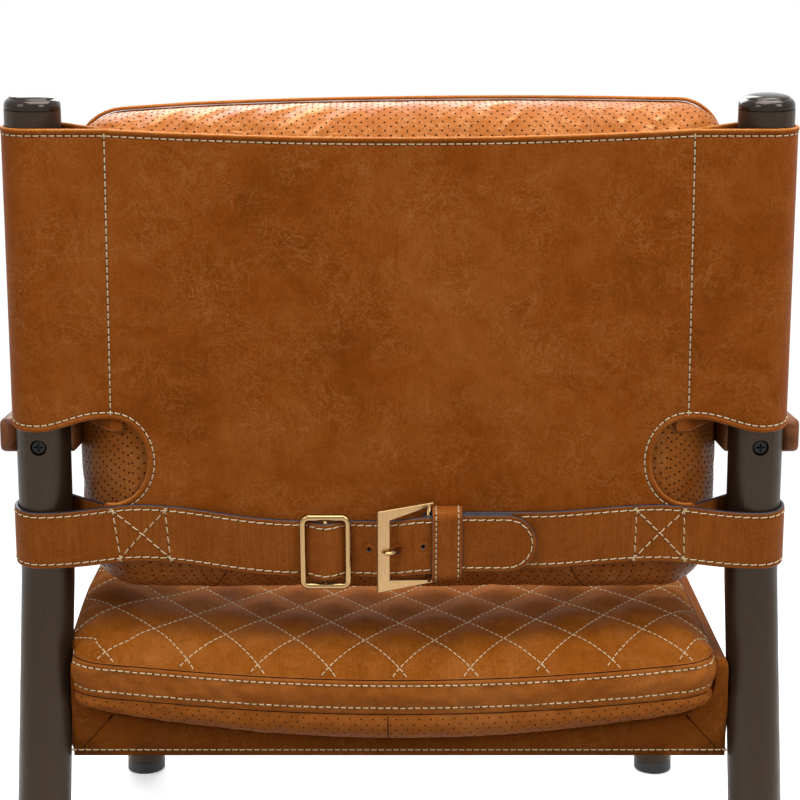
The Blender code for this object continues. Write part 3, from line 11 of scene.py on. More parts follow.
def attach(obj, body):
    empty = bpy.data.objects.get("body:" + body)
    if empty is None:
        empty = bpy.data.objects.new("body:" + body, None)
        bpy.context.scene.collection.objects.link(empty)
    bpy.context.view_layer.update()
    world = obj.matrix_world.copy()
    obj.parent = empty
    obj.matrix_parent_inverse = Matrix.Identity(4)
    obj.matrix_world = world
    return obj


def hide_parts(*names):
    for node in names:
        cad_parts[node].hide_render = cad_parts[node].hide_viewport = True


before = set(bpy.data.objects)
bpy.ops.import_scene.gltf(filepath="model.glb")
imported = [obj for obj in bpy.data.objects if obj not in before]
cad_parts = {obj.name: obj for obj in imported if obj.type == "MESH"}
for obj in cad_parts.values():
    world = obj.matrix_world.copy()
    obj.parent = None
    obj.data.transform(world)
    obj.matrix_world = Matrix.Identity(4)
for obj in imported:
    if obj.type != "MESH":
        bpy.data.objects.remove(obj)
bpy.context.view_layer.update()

# The chair faces -Y and its left side is +X. The back is drawn in a reclined plane and the seat in a
# tilted one, from the same sizes as the solids, in metres.
DATUM = np.array((0, 0.28653, 0.52730))
RECLINE = radians(9.3)
SEAT_TILT = radians(6.5)
BACK_AXIS = np.array((0, sin(RECLINE), cos(RECLINE)))
BACK_NORMAL = np.array((0, cos(RECLINE), -sin(RECLINE)))
SEAT_DATUM = np.array((0, 0.31053, 0.34450))
SEAT_FORWARD = np.array((0, -cos(SEAT_TILT), sin(SEAT_TILT)))
SEAT_NORMAL = np.array((0, sin(SEAT_TILT), cos(SEAT_TILT)))
SIDES = (("left", 1), ("right", -1))

# Rear posts
POST_RADIUS = 0.024
POST_HALF = 0.3215
BACK_SPLAY = radians(1.4)
CAP_SEAT_RISE = 0.3135

# Back sling
SLING_LEATHER = 0.0026
SLEEVE_MIDDLE = 0.0258
SLING_TOP = 0.300
SLING_TOP_SAG = 0.007
SLING_BOTTOM = -0.085
SLEEVE_BOTTOM = 0.0305
SLEEVE_FRONT_BOTTOM = 0.038
SLEEVE_SEAM_HALF = 0.256
FLAP_LAP = 0.010
NOTCH_CENTRE_HALF = 0.256
NOTCH_REACH = 0.032
NOTCH_TOP = 0.043
NOTCH_FOOT = -0.036
TONGUE_HALF = 0.2635

# Belt
BELT_HALF = 0.027
BELT_LEATHER = 0.0036
BELT_AT_POST = -0.0725
BELT_AT_BOX = -0.0635
BELT_AT_SLIDER = -0.0770
BELT_AT_BUCKLE = -0.0690
BOX_OUTER_HALF = 0.257
BOX_INNER_HALF = 0.209
BELT_TIP_HALF = 0.1225
SLIDER_CENTRE = 0.0663
SLIDER_WIDTH = 0.0465
SLIDER_HEIGHT = 0.0716
SLIDER_BAR = 0.0030
SLIDER_CENTRE_BAR = 0.0022
SLIDER_CORNER = 0.0085
HINGE_HALF_PLACE = 0.0260
HINGE_BAR = 0.0025
BUCKLE_CENTRE = -0.0698
BUCKLE_HALF_HEIGHT = 0.0385
BUCKLE_REACH = 0.0503
BUCKLE_FRONT_WIDTH = 0.0116
BUCKLE_SIDE_WIDTH = 0.0102
BUCKLE_TAIL_WIDTH = 0.0030
BUCKLE_HINGE_MARGIN = 0.0045
BUCKLE_PLATE = 0.0036
BUCKLE_TILT = radians(25)
PRONG_CENTRE = -0.0710
PRONG_REACH = 0.0455
PRONG_RADIUS = 0.0021
PRONG_LINE_SHARES = (
    (0.08, 0), (0.26, -0.6), (0.44, -0.95), (0.61, -0.33), (0.73, 0.5), (0.83, 1), (0.97, 1.05), (1, 0.95),
)
BELT_HOLES = (0.0267, -0.0209)
KEEPER_START = 0.0288
KEEPER_WIDTH = 0.0272
KEEPER_HALF_HEIGHT = 0.0340
KEEPER_LEATHER = 0.0026

# Levels out of the back plane
BELT_BOX_OUT = 0.0292
BELT_RUN_OUT = 0.0323
BELT_FRONT_OUT = 0.0224
LOOP_RADIUS = 0.0263
FOLD_RADIUS = 0.0047
HINGE_OUT = 0.0370
SEWN_OUT = 0.0363
TAIL_OUT = 0.0403
TAIL_OVER_FOLD = 0.0457
SLIDER_OUT = 0.0375
WEAVE_OUT = 0.0419

# Stitches, measured from one to the next
SADDLE_PITCH = 0.0079
SEAM_PITCH = 0.0067
QUILT_PITCH = 0.0058
EDGE_STITCH = 0.0060
BELT_STITCH = 0.0042

# Cushions
SEAT_HALF = 0.2865
SEAT_DEPTH = 0.672
BACK_HALF = 0.289
BACK_BOTTOM = -0.130
BACK_TOP = 0.309
QUILT_DIAGONAL = 0.064


# ---- Materials ----

NOISE, WAVE, MATH, VECTOR = "ShaderNodeTexNoise", "ShaderNodeTexWave", "ShaderNodeMath", "ShaderNodeVectorMath"
MAPPING, RANGE, RAMP = "ShaderNodeMapping", "ShaderNodeMapRange", "ShaderNodeValToRGB"
MIX, BUMP = "ShaderNodeMix", "ShaderNodeBump"
TIMES = {"operation": "MULTIPLY"}
MIXED = {"out": 2, "data_type": "RGBA"}
SHADED = {**MIXED, "blend_type": "MULTIPLY"}


def colour(hex_value):
    """An sRGB hex value as linear red, green, blue and alpha."""
    channels = [int(hex_value[i:i + 2], 16) / 255 for i in (1, 3, 5)]
    return tuple(c / 12.92 if c <= 0.04045 else ((c + 0.055) / 1.055) ** 2.4 for c in channels) + (1,)


def set_all(target, **values):
    for name, value in values.items():
        setattr(target, name, value)


def add_node(tree, kind, inputs=(), stops=(), out=0, **settings):
    """Adds a node and gives one of its outputs.

    inputs are in order, or by socket: a value, an output to link from, or a list of outputs. stops are a
    colour ramp's.
    """
    made = tree.nodes.new(kind)
    set_all(made, **settings)
    for key, value in inputs.items() if isinstance(inputs, dict) else enumerate(inputs):
        for part in value if isinstance(value, list) else [value]:
            if isinstance(part, bpy.types.NodeSocket):
                tree.links.new(part, made.inputs[key])
            else:
                made.inputs[key].default_value = part
    if stops:
        elements = made.color_ramp.elements
        while len(elements) < len(stops):
            elements.new(0.5)
        for element, (place, hex_value) in zip(elements, stops):
            element.position, element.color = place, colour(hex_value)
    return made.outputs[out] if len(made.outputs) else None


def new_material(name, base, roughness, metallic=0.0, **sockets):
    """A material, its tree, its shader, and the object's coordinates in it."""
    made = bpy.data.materials.new(name)
    made.use_nodes = True
    tree = made.node_tree
    shader = tree.nodes["Principled BSDF"]
    values = {"Base_Color": colour(base), "Roughness": roughness, "Metallic": metallic, **sockets}
    for socket, value in values.items():
        shader.inputs[socket.replace("_", " ")].default_value = value
    return made, tree, shader, add_node(tree, "ShaderNodeTexCoord", out="Object")


def wire(tree, shader, **sources):
    """Links outputs to the shader's sockets of these names."""
    for socket, source in sources.items():
        tree.links.new(source, shader.inputs[socket.replace("_", " ")])


def pull_up_leather(name, stops, crease, roughness, shine, streaks=0.0, wrinkles=0.0):
    """Aniline leather, waxed so that it pales where it is pulled: cloudy tones, pale creases like fine hairs,
    a tight pore grain of about 1.4 mm, and a soft wax shine. Streaks are the brush marks of the wax.
    Wrinkles are slanting pulls about 20 mm apart; their crests take the pale crease tone as a painted highlight.
    Nearly all lie above 0.75 m, where the boxing is gathered over the back and the top light falls on it.
    """
    made, tree, shader, place = new_material(
        name, stops[1][1], roughness, IOR=1.45, Specular_IOR_Level=shine, Specular_Tint=colour("#E5A468")
    )
    drift = add_node(tree, NOISE, {"Vector": place, "Scale": 16.0, "Detail": 3.0}, out="Color")
    pushed = add_node(tree, VECTOR, (drift, (0.05, 0.05, 0.05)), **TIMES)
    bent = add_node(tree, VECTOR, (place, pushed))
    clouds = add_node(tree, NOISE, {"Vector": bent, "Scale": 9.0, "Detail": 6.0, "Roughness": 0.62})
    mottle = add_node(tree, NOISE, {"Vector": bent, "Scale": 60.0, "Detail": 7.0, "Roughness": 0.7})
    both = add_node(tree, MIX, {0: 0.42, 2: clouds, 3: mottle}, data_type="FLOAT")
    base = add_node(tree, RAMP, (both,), stops)
    pale = 0.0
    for scale, seed in ((42.0, 0.0), (90.0, 3.7), (150.0, 7.1)):
        moved = add_node(tree, VECTOR, (bent, (seed, seed, seed)))
        hairs = {"Vector": moved, "Scale": scale, "Detail": 5.0, "Roughness": 0.55, "Distortion": 0.6}
        off = add_node(tree, MATH, (add_node(tree, NOISE, hairs), 0.5), operation="SUBTRACT")
        near = add_node(tree, MATH, (off,), operation="ABSOLUTE")
        line = add_node(tree, RANGE, (near, 0.0, 0.016, 1.0, 0.0))
        pale = add_node(tree, MATH, (pale, line), operation="MAXIMUM")
    patch = add_node(tree, NOISE, {"Vector": place, "Scale": 22.0, "Detail": 3.0})
    shown = add_node(tree, RANGE, (patch, 0.34, 0.62, 0.0, 1.0))
    pale = add_node(tree, MATH, (pale, shown), **TIMES)
    share = add_node(tree, MATH, (pale, 0.46), **TIMES)
    base = add_node(tree, MIX, {0: share, 6: base, 7: colour(crease)}, **MIXED)
    speck = add_node(tree, NOISE, {"Vector": place, "Scale": 620.0, "Detail": 2.0})
    grey = add_node(tree, RAMP, (speck,), ((0.3, "#B4B4B4"), (0.7, "#FFFFFF")))
    base = add_node(tree, MIX, {0: 0.35, 6: base, 7: grey}, **SHADED)
    if streaks:
        along = add_node(tree, MAPPING, {"Vector": place, "Scale": (700.0, 60.0, 28.0)})
        brush = add_node(tree, NOISE, {"Vector": along, "Scale": 1.0, "Detail": 3.0})
        tone = add_node(tree, RAMP, (brush,), ((0.3, "#9A9A9A"), (0.7, "#FFFFFF")))
        base = add_node(tree, MIX, {0: streaks, 6: base, 7: tone}, **SHADED)
    gloss = add_node(tree, RANGE, (mottle, 0.3, 0.7, roughness - 0.07, roughness + 0.09))
    pores = add_node(tree, "ShaderNodeTexVoronoi", {"Vector": place, "Scale": 720.0}, feature="F1")
    relief = [(pores, 0.14, 0.0006), (mottle, 0.25, 0.0016), (pale, 0.22, 0.0005)]
    if wrinkles:
        slanted = add_node(tree, MAPPING, {"Vector": place, "Rotation": (0.0, 0.80, 0.25)})
        gathers = {"Vector": slanted, "Scale": 15.0, "Distortion": 4.0, "Detail": 3.0, "Detail Scale": 1.8}
        wave = add_node(tree, WAVE, gathers, out="Fac")
        high = add_node(tree, "ShaderNodeSeparateXYZ", (place,), out="Z")
        # Height mask: the wrinkles and their painted highlight lie on the boxing over the back's top, under the top
        # light
        gathered_and_lit = add_node(tree, RANGE, (high, 0.72, 0.79, 0.06, 1.0))
        cloudy = add_node(tree, RANGE, (clouds, 0.44, 0.58, 0.1, 1.0))
        where = add_node(tree, MATH, (cloudy, gathered_and_lit), **TIMES)
        pulls = add_node(tree, MATH, (wave, where), **TIMES)
        relief.append((pulls, wrinkles, 0.004))
        # Painted highlight: the wrinkle crests are paled towards the crease tone
        crest = add_node(tree, RANGE, (pulls, 0.58, 1.0, 0.0, 0.46))
        base = add_node(tree, MIX, {0: crest, 6: base, 7: colour(crease)}, **MIXED)
    bent_normal = {}
    for height, strength, distance in relief:
        bump = {"Height": height, "Strength": strength, "Distance": distance, **bent_normal}
        bent_normal = {"Normal": add_node(tree, BUMP, bump)}
    wire(tree, shader, Base_Color=base, Roughness=gloss, **bent_normal)
    return made


def grained(name, base, roughness, grain, stops=(), bump=0.0, depth=0.0002, kind=NOISE, out=0, mapping=None, **sockets):
    """A material with one pattern, which colours it between two stops and stands up from it."""
    made, tree, shader, place = new_material(name, base, roughness, **sockets)
    if mapping:
        place = add_node(tree, MAPPING, {"Vector": place, **mapping})
    pattern = add_node(tree, kind, {"Vector": place, **grain}, out=out)
    if stops:
        wire(tree, shader, Base_Color=add_node(tree, RAMP, (pattern,), stops))
    if bump:
        relief = {"Height": pattern, "Strength": bump, "Distance": depth}
        wire(tree, shader, Normal=add_node(tree, BUMP, relief))
    return made


def drawn_metal(name, base, rough, stretch, lines, dark, share, bump, spread, cloud=None, **sockets):
    """Metal worked one way: lines stretched along it darken a share of its colour and stand up a little, and
    its roughness spreads below and above its own, over the lines or over clouds."""
    made, tree, shader, place = new_material(name, base, rough, **sockets)
    along = add_node(tree, MAPPING, {"Vector": place, "Scale": stretch})
    drawn = add_node(tree, NOISE, {"Vector": along, "Scale": 1.0, **lines})
    patches = add_node(tree, NOISE, {"Vector": place, **cloud}) if cloud else drawn
    tone = add_node(tree, RAMP, (drawn,), (dark, (1 - dark[0], "#FFFFFF")))
    wire(
        tree, shader,
        Base_Color=add_node(tree, MIX, {0: share, 6: colour(base), 7: tone}, **SHADED),
        Roughness=add_node(tree, RANGE, (patches, 0.3, 0.7, rough - spread[0], rough + spread[1])),
        Normal=add_node(tree, BUMP, {"Height": drawn, "Strength": bump, "Distance": 0.0002}),
    )
    return made


def bronzed_steel(name, base, roughness, brushing):
    """Steel tube under a bronze-black lacquer: dark and satin, with the tube's drawn lines faintly along it."""
    return drawn_metal(
        name, base, roughness, (900.0, 900.0, 9.0), {"Detail": 3.0}, (0.25, "#C8C8C8"), brushing, 0.08 * brushing,
        (0.04, 0.05), {"Scale": 40.0, "Detail": 4.0}, metallic=0.5, Specular_IOR_Level=0.3, Coat_Weight=0.08,
        Coat_Roughness=0.2,
    )


def gilt_brass(name, base, roughness, direction, strength):
    """Cast brass under pale gilt lacquer. The faces are brushed one way, the edges polished."""
    return drawn_metal(
        name, base, roughness, direction, {"Detail": 4.0, "Roughness": 0.7}, (0.3, "#D2D2D2"),
        min(strength * 3, 1.0), strength, (0.05, 0.08), metallic=1.0,
    )


def stained_walnut():
    """Walnut, stained red-brown under a satin lacquer: long figure, darker pores of 0.5 mm along the arm."""
    made, tree, shader, place = new_material("stained_walnut", "#6E4023", 0.45, IOR=1.5, Specular_IOR_Level=0.25)
    along = add_node(tree, MAPPING, {"Vector": place, "Scale": (60.0, 3.2, 60.0)})
    figure = add_node(tree, NOISE, {"Vector": along, "Scale": 1.0, "Detail": 5.0, "Distortion": 1.2})
    fine = add_node(tree, MAPPING, {"Vector": place, "Scale": (1500.0, 55.0, 1500.0)})
    pores = add_node(tree, NOISE, {"Vector": fine, "Scale": 1.0, "Detail": 2.0})
    base = add_node(tree, RAMP, (figure,), ((0.25, "#522B12"), (0.5, "#784520"), (0.75, "#965D30")))
    dark = add_node(tree, RAMP, (pores,), ((0.34, "#5A4034"), (0.5, "#FFFFFF")))
    wire(
        tree, shader,
        Base_Color=add_node(tree, MIX, {0: 0.8, 6: base, 7: dark}, **SHADED),
        Normal=add_node(tree, BUMP, {"Height": pores, "Strength": 0.15, "Distance": 0.0003}),
    )
    return made


# Each leather's name, three tones from dark to light with their places, the pale tone of its creases,
# roughness, shine, streaks and wrinkles
THIRDS, QUARTERS = (0.28, 0.47, 0.72), (0.25, 0.5, 0.75)
LEATHER = {
    key: pull_up_leather(name, tuple(zip(places, tones)), *rest)
    for key, name, places, tones, *rest in (
        ("sling", "sling_leather", THIRDS, ("#773B0D", "#924A15", "#AC6329"), "#BC7C42", 0.52, 0.14, 0.15),
        # Lighter leather for folded edges and the welt: partly the real paling of pull-up leather at a bend, partly a
        # painted highlight where the top light falls on the roll
        ("roll", "folded_edge_leather", QUARTERS, ("#93501A", "#AC6628", "#C27E40"), "#D29A60", 0.45, 0.2),
        ("belt", "belt_leather", QUARTERS, ("#854515", "#9B531E", "#AC652D"), "#AE7038", 0.52, 0.12, 0.35),
        # The panel's pale crease tone also paints the highlight along its wrinkle crests
        ("panel", "perforated_leather", QUARTERS, ("#844312", "#9C5720", "#B26E37"), "#DCA673", 0.44, 0.14, 0.0, 0.5),
        ("seat", "quilted_leather", QUARTERS, ("#723A0D", "#8E4E16", "#A8662E"), "#B07038", 0.55, 0.02, 0.2),
        ("band", "boxing_leather", QUARTERS, ("#824718", "#A05A22", "#B8743C"), "#B0703C", 0.46, 0.10),
        ("deck", "deck_leather", QUARTERS, ("#6A360D", "#7B4013", "#8A4E1E"), "#A0652F", 0.55, 0.08),
    )
}
# Burnished leather edge under dark blue-black edge paint: smooth, with a low satin shine
EDGE_PAINT = grained(
    "edge_paint", "#1D1A22", 0.42, {"Scale": 240.0, "Detail": 4.0}, ((0.35, "#16141B"), (0.75, "#2B2833")),
    0.2, 0.0004, IOR=1.5,
)
# Cut leather edge left plain: fibrous and dull
RAW_EDGE = grained(
    "raw_leather_edge", "#A9683A", 0.8, {"Scale": 900.0, "Detail": 3.0}, ((0.3, "#7C4A28"), (0.75, "#A9683A"))
)
# Twisted, waxed linen thread: cream, with the twist as fine slanted lines 0.6 mm apart
THREAD = grained(
    "cream_thread", "#E4CEA4", 0.62, {"Scale": 520.0, "Distortion": 1.5, "Detail": 1.0},
    ((0.1, "#B0966A"), (0.7, "#E4CEA4")), 0.5, kind=WAVE, out="Fac", mapping={"Rotation": (0.5, 0.6, 0.7)},
)
# The dark inside of a needle hole, of a punched hole and of a sewn crease: painted shade in these hollows, dull, with a
# fine fibre grain
NEEDLE_HOLE_SHADE, PUNCHED_HOLE_SHADE, SEAM_SHADE = (
    grained(name, base, 0.95, {"Scale": 1200.0}, ((0.2, "#0B0502"), (0.9, base)), Specular_IOR_Level=0.1)
    for name, base in (("needle_hole_shade", "#3E200F"), ("punched_hole_shade", "#3A1D0C"), ("sewn_crease_shade", "#3B1B08"))
)
POST_STEEL = bronzed_steel("bronzed_steel_tube", "#382A1D", 0.42, 0.5)
CAP_STEEL = bronzed_steel("bronzed_steel_cap", "#2C221C", 0.12, 0.1)
BLACK_SCREW = bronzed_steel("blackened_screw", "#141414", 0.38, 0.1)
BRASS_FACE = gilt_brass("brushed_gilt_brass", "#B18E64", 0.34, (900.0, 40.0, 40.0), 0.25)
BRASS_EDGE = gilt_brass("polished_gilt_brass", "#9C7D54", 0.15, (60.0, 60.0, 60.0), 0.03)
WALNUT = stained_walnut()
# Plain rolled steel bar under clear oil: grey with faint mill streaks
STEEL = grained(
    "rolled_steel", "#8A8A8C", 0.45, {"Scale": 1.0, "Detail": 4.0}, ((0.3, "#6E6E70"), (0.7, "#98989A")),
    mapping={"Scale": (400.0, 20.0, 400.0)}, metallic=0.9,
)
# Moulded polypropylene glide: black, with a fine spark texture
GLIDE = grained("moulded_polypropylene", "#17171A", 0.55, {"Scale": 1400.0}, bump=0.2)


# ---- Places ----


def on_plane(datum, first, second, across, along, out):
    across, along, out = np.broadcast_arrays(across, along, out)
    flat = np.stack([across, np.zeros_like(across), np.zeros_like(across)], -1)
    return datum + flat + first * along[..., None] + second * out[..., None]


def on_back(across, rise, out):
    """World points of the reclined back, for arrays: across, up along the posts, out towards the rear."""
    return on_plane(DATUM, BACK_AXIS, BACK_NORMAL, across, rise, out)


def on_seat(across, forward, up):
    """World points of the tilted seat: across, forward from the cushion's rear seam, and up from it."""
    return on_plane(SEAT_DATUM, SEAT_FORWARD, SEAT_NORMAL, across, forward, up)


def eased(share):
    share = np.clip(share, 0, 1)
    return share * share * (3 - 2 * share)


def round_start(distance, radius):
    """A quarter circle: 0 at the edge, and 1 from a radius on."""
    return np.sqrt(np.clip(1 - (1 - np.clip(distance / radius, 0, 1)) ** 2, 0, 1))


def dip(distance, middle, width):
    """A bell: 1 in its middle, and next to nothing two widths away."""
    return np.exp(-((distance - middle) / width) ** 2)


def post_shift(rise):
    """How far the posts lean in at a height along the back."""
    return -rise * tan(BACK_SPLAY)


def curve_through(points, steps):
    """A smooth line through plan points."""
    points = np.array(points, float)
    padded = np.vstack([2 * points[0] - points[1], points, 2 * points[-1] - points[-2]])
    line = []
    for i in range(1, len(padded) - 2):
        a, b, c, d = padded[i - 1:i + 3]
        for t in np.linspace(0, 1, steps, endpoint=False):
            bend, twist = 2 * a - 5 * b + 4 * c - d, 3 * b - a - 3 * c + d
            line.append(0.5 * (2 * b + (c - a) * t + bend * t ** 2 + twist * t ** 3))
    line.append(points[-1])
    return np.array(line)


class PlanLine:
    """A strip's middle line in plan. It gives the point and the outward normal at a length along it."""

    def __init__(self, points, flip=1):
        points = np.array(points, float)
        keep = np.r_[True, np.linalg.norm(np.diff(points, axis=0), axis=1) > 1e-7]
        self.points = points[keep]
        steps = np.linalg.norm(np.diff(self.points, axis=0), axis=1)
        self.lengths = np.r_[0, np.cumsum(steps)]
        self.total = self.lengths[-1]
        slope = np.gradient(self.points, self.lengths, axis=0)
        slope /= np.linalg.norm(slope, axis=1)[:, None]
        self.normals = np.stack([slope[:, 1], -slope[:, 0]], -1) * flip

    def at(self, length):
        sample = [np.interp(length, self.lengths, column) for column in (*self.points.T, *self.normals.T)]
        scale = np.hypot(sample[2], sample[3])
        return sample[0], sample[1], sample[2] / scale, sample[3] / scale

    def length_at(self, across, after=0.0):
        """The length at which the line first reaches a place across, beyond a given length."""
        for i in range(1, len(self.points)):
            low, high = self.points[i - 1, 0], self.points[i, 0]
            if self.lengths[i] > after and (low - across) * (high - across) <= 0 and low != high:
                step = self.lengths[i] - self.lengths[i - 1]
                return self.lengths[i - 1] + step * (across - low) / (high - low)
        raise ValueError(across)


# ---- Meshes ----


def linked(name, data):
    """A new object in the scene."""
    made = bpy.data.objects.new(name, data)
    bpy.context.scene.collection.objects.link(made)
    return made


def raw_mesh(name, vertices, faces, materials=()):
    mesh = bpy.data.meshes.new(name)
    mesh.from_pydata([tuple(v) for v in vertices], [], [tuple(int(i) for i in f) for f in faces])
    for material in materials:
        mesh.materials.append(material)
    return mesh


def mend(mesh, merge=0.0, flat=0.0):
    """Merges points within a distance, and flat faces within an angle, or else turns all faces outward."""
    bm = bmesh.new()
    bm.from_mesh(mesh)
    if merge:
        bmesh.ops.remove_doubles(bm, verts=bm.verts, dist=merge)
    if flat:
        bmesh.ops.dissolve_limit(bm, angle_limit=flat, verts=bm.verts, edges=bm.edges)
    else:
        bmesh.ops.recalc_face_normals(bm, faces=bm.faces)
    bm.to_mesh(mesh)
    bm.free()


def new_piece(name, vertices, faces, materials, indices=None, smooth=True):
    mesh = raw_mesh(name, vertices, faces, materials)
    if indices is not None:
        mesh.polygons.foreach_set("material_index", np.array(indices, np.int32))
    mesh.validate()
    mend(mesh, 1e-6)
    if smooth:
        mesh.shade_smooth()
    return linked(name, mesh)


def applied(piece, modifier):
    """Keeps a modifier's result as the piece's plain mesh."""
    depsgraph = bpy.context.evaluated_depsgraph_get()
    made = bpy.data.meshes.new_from_object(piece.evaluated_get(depsgraph), depsgraph=depsgraph)
    piece.modifiers.remove(modifier)
    piece.data = made
    return made


def edge_distance(points, loops):
    """Distance from flat points to the nearest outline."""
    starts = np.vstack(loops)
    ends = np.vstack([np.roll(loop, -1, axis=0) for loop in loops])
    run = ends - starts
    square = np.maximum((run ** 2).sum(1), 1e-18)
    nearest = np.empty(len(points))
    for low in range(0, len(points), 2000):
        part = points[low:low + 2000, None, :]
        share = np.clip(((part - starts) * run).sum(2) / square, 0, 1)
        gap = part - starts - run * share[..., None]
        nearest[low:low + 2000] = np.sqrt((gap ** 2).sum(2).min(1))
    return nearest


def inside(points, loop):
    """Whether flat points lie inside an outline."""
    x, y = points[:, 0], points[:, 1]
    crossings = np.zeros(len(points), bool)
    for (x0, y0), (x1, y1) in zip(loop, np.roll(loop, -1, axis=0)):
        if y0 != y1:
            crossings ^= ((y0 > y) != (y1 > y)) & (x < (x1 - x0) * (y - y0) / (y1 - y0) + x0)
    return crossings


def spaced(loop, step, closed=True):
    """An outline's points, with more between them so that none is further apart than a step."""
    loop = np.array(loop, float)
    ends = np.roll(loop, -1, axis=0) if closed else loop[1:]
    points = []
    for start, end in zip(loop, ends):
        count = max(1, int(np.ceil(np.linalg.norm(end - start) / step)))
        points += [start + (end - start) * i / count for i in range(count)]
    if not closed:
        points.append(loop[-1])
    return np.array(points)


def inset_line(loop, distance):
    """The points of an outline moved inward by a distance, without those that corners cut off."""
    area = np.sum(loop[:, 0] * np.roll(loop[:, 1], -1) - loop[:, 1] * np.roll(loop[:, 0], -1))
    run = np.roll(loop, -1, axis=0) - np.roll(loop, 1, axis=0)
    normal = np.stack([-run[:, 1], run[:, 0]], -1) * np.sign(area)
    normal /= np.maximum(np.linalg.norm(normal, axis=1), 1e-12)[:, None]
    moved = loop + normal * distance
    kept = edge_distance(moved, [loop]) > abs(distance) * 0.97
    return moved, kept & (inside(moved, loop) == (distance > 0))


EDGE_ROWS = (0.0002, 0.0006, 0.0011, 0.0018, 0.0026, 0.0036, 0.0046, 0.0054, 0.0062, 0.0072, 0.0088)


def leather_sheet(name, outline, holes, columns, rows, place, levels, materials, painted=0.0, edge_rows=EDGE_ROWS):
    """A piece of leather, cut flat to an outline with holes and then bent to its place.

    columns and rows are the inner grid. levels gives the outer and inner level at a distance from the edge,
    and place takes flat coordinates and a level to the world. Within painted of the edge, and on the cut
    itself, it takes the second material.
    """
    loops = [outline] + list(holes)
    points = [p for loop in loops for p in loop]
    edges = []
    for loop in loops:
        first = len(edges)
        edges += [(first + i, first + (i + 1) % len(loop)) for i in range(len(loop))]
    near = []
    for loop, sign in [(outline, 1)] + [(hole, -1) for hole in holes]:
        for distance in edge_rows:
            moved, kept = inset_line(loop, sign * distance)
            near.append(moved[kept])
    grid = np.stack(np.meshgrid(columns, rows), -1).reshape(-1, 2)
    grid = grid[inside(grid, outline)]
    free = np.vstack(near + [grid])
    gap = edge_distance(free, loops)
    count = len(free) - len(grid)
    reach = np.r_[np.full(count, 0.00015), np.full(len(grid), edge_rows[-1] * 1.1)]
    free = free[gap > reach]
    free = free[inside(free, outline)]
    for hole in holes:
        free = free[~inside(free, hole)]
    flat_input = [Vector(p) for p in points] + [Vector(p) for p in free]
    flat, _, triangles, _, _, _ = delaunay_2d_cdt(flat_input, edges, [], 1, 1e-7)
    flat = np.array([tuple(p) for p in flat])
    triangles = np.array([t for t in triangles if len(t) == 3])
    middles = flat[triangles].mean(1)
    keep = inside(middles, outline)
    for hole in holes:
        keep &= ~inside(middles, hole)
    triangles = triangles[keep]
    distance = edge_distance(flat, loops)
    outer_level, inner_level = levels(distance, flat)
    outer, inner = (place(flat[:, 0], flat[:, 1], level) for level in (outer_level, inner_level))
    total = len(flat)
    pairs = np.vstack([triangles[:, [0, 1]], triangles[:, [1, 2]], triangles[:, [2, 0]]])
    found = {}
    for a, b in pairs:
        key = (min(a, b), max(a, b))
        found[key] = None if key in found else (a, b)
    rim = [pair for pair in found.values() if pair is not None]
    faces = [tuple(t) for t in triangles] + [tuple(t[::-1] + total) for t in triangles]
    faces += [(b, a, a + total, b + total) for a, b in rim]
    on_edge = (distance[triangles].max(1) < painted).astype(int)
    indices = list(on_edge) + list(on_edge) + [1 if painted else 0] * len(rim)
    return new_piece(name, np.vstack([outer, inner]), faces, materials, indices)


def loft(rings, closed=False, around=True):
    """Faces between rings of equally many points, numbered ring by ring. Open lofts get end caps."""
    count = len(rings[0])
    faces = []
    pairs = [(i, i + 1) for i in range(len(rings) - 1)] + ([(len(rings) - 1, 0)] if closed else [])
    for low, high in pairs:
        for i in range(count if around else count - 1):
            j = (i + 1) % count
            faces.append((low * count + i, low * count + j, high * count + j, high * count + i))
    if not closed and around:
        faces.append(tuple(range(count))[::-1])
        faces.append(tuple(range((len(rings) - 1) * count, len(rings) * count)))
    return np.vstack(rings), faces


def finished_node(node, material):
    """A CAD node's own shape, merged and smoothed for a fine finish. It stands for the node."""
    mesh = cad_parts[node].data.copy()
    mesh.materials.clear()
    mesh.materials.append(material)
    mend(mesh, 1e-5, radians(1))
    mesh.shade_smooth()
    mesh.set_sharp_from_angle(angle=radians(35))
    return linked(f"{node}_finished", mesh)


def settle(piece, body, *nodes, slot):
    """Puts a piece on its body, in place of the CAD nodes that it stands for."""
    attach(piece, body)
    if nodes:
        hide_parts(*nodes)


# ---- Stitches, cords and holes, by geometry nodes ----


def new_tree(name, **inputs):
    """A geometry tree with named inputs of these kinds of socket, and the outputs that bring them in."""
    tree = bpy.data.node_groups.new(name, "GeometryNodeTree")
    for label, kind in {"Geometry": "Geometry", **inputs}.items():
        tree.interface.new_socket(label, in_out="INPUT", socket_type=f"NodeSocket{kind}")
    tree.interface.new_socket("Geometry", in_out="OUTPUT", socket_type="NodeSocketGeometry")
    return tree, add_node(tree, "NodeGroupInput").node.outputs


# The surface's normal, which the points of a row carry
LIE_NORMAL = {
    "kind": "GeometryNodeInputNamedAttribute", "inputs": {"Name": "lie_normal"}, "data_type": "FLOAT_VECTOR",
}


def copies(tree, points, piece, rotation, finish, smooth=False):
    """Copies of a piece at points, or the piece itself, as one mesh with its material."""
    made = piece
    if points is not None:
        placed = {"Points": points, "Instance": piece, "Rotation": rotation}
        made = add_node(tree, "GeometryNodeInstanceOnPoints", placed)
    made = add_node(tree, "GeometryNodeRealizeInstances", (made,))
    if smooth:
        made = add_node(tree, "GeometryNodeSetShadeSmooth", (made,))
    return add_node(tree, "GeometryNodeSetMaterial", {0: made, "Material": finish})


def round_bar(tree, line, sides, width):
    radius = add_node(tree, MATH, (width, 0.5), **TIMES)
    section = add_node(tree, "GeometryNodeCurvePrimitiveCircle", {"Resolution": sides, "Radius": radius})
    return add_node(tree, "GeometryNodeCurveToMesh", {"Curve": line, "Profile Curve": section, "Fill Caps": True})


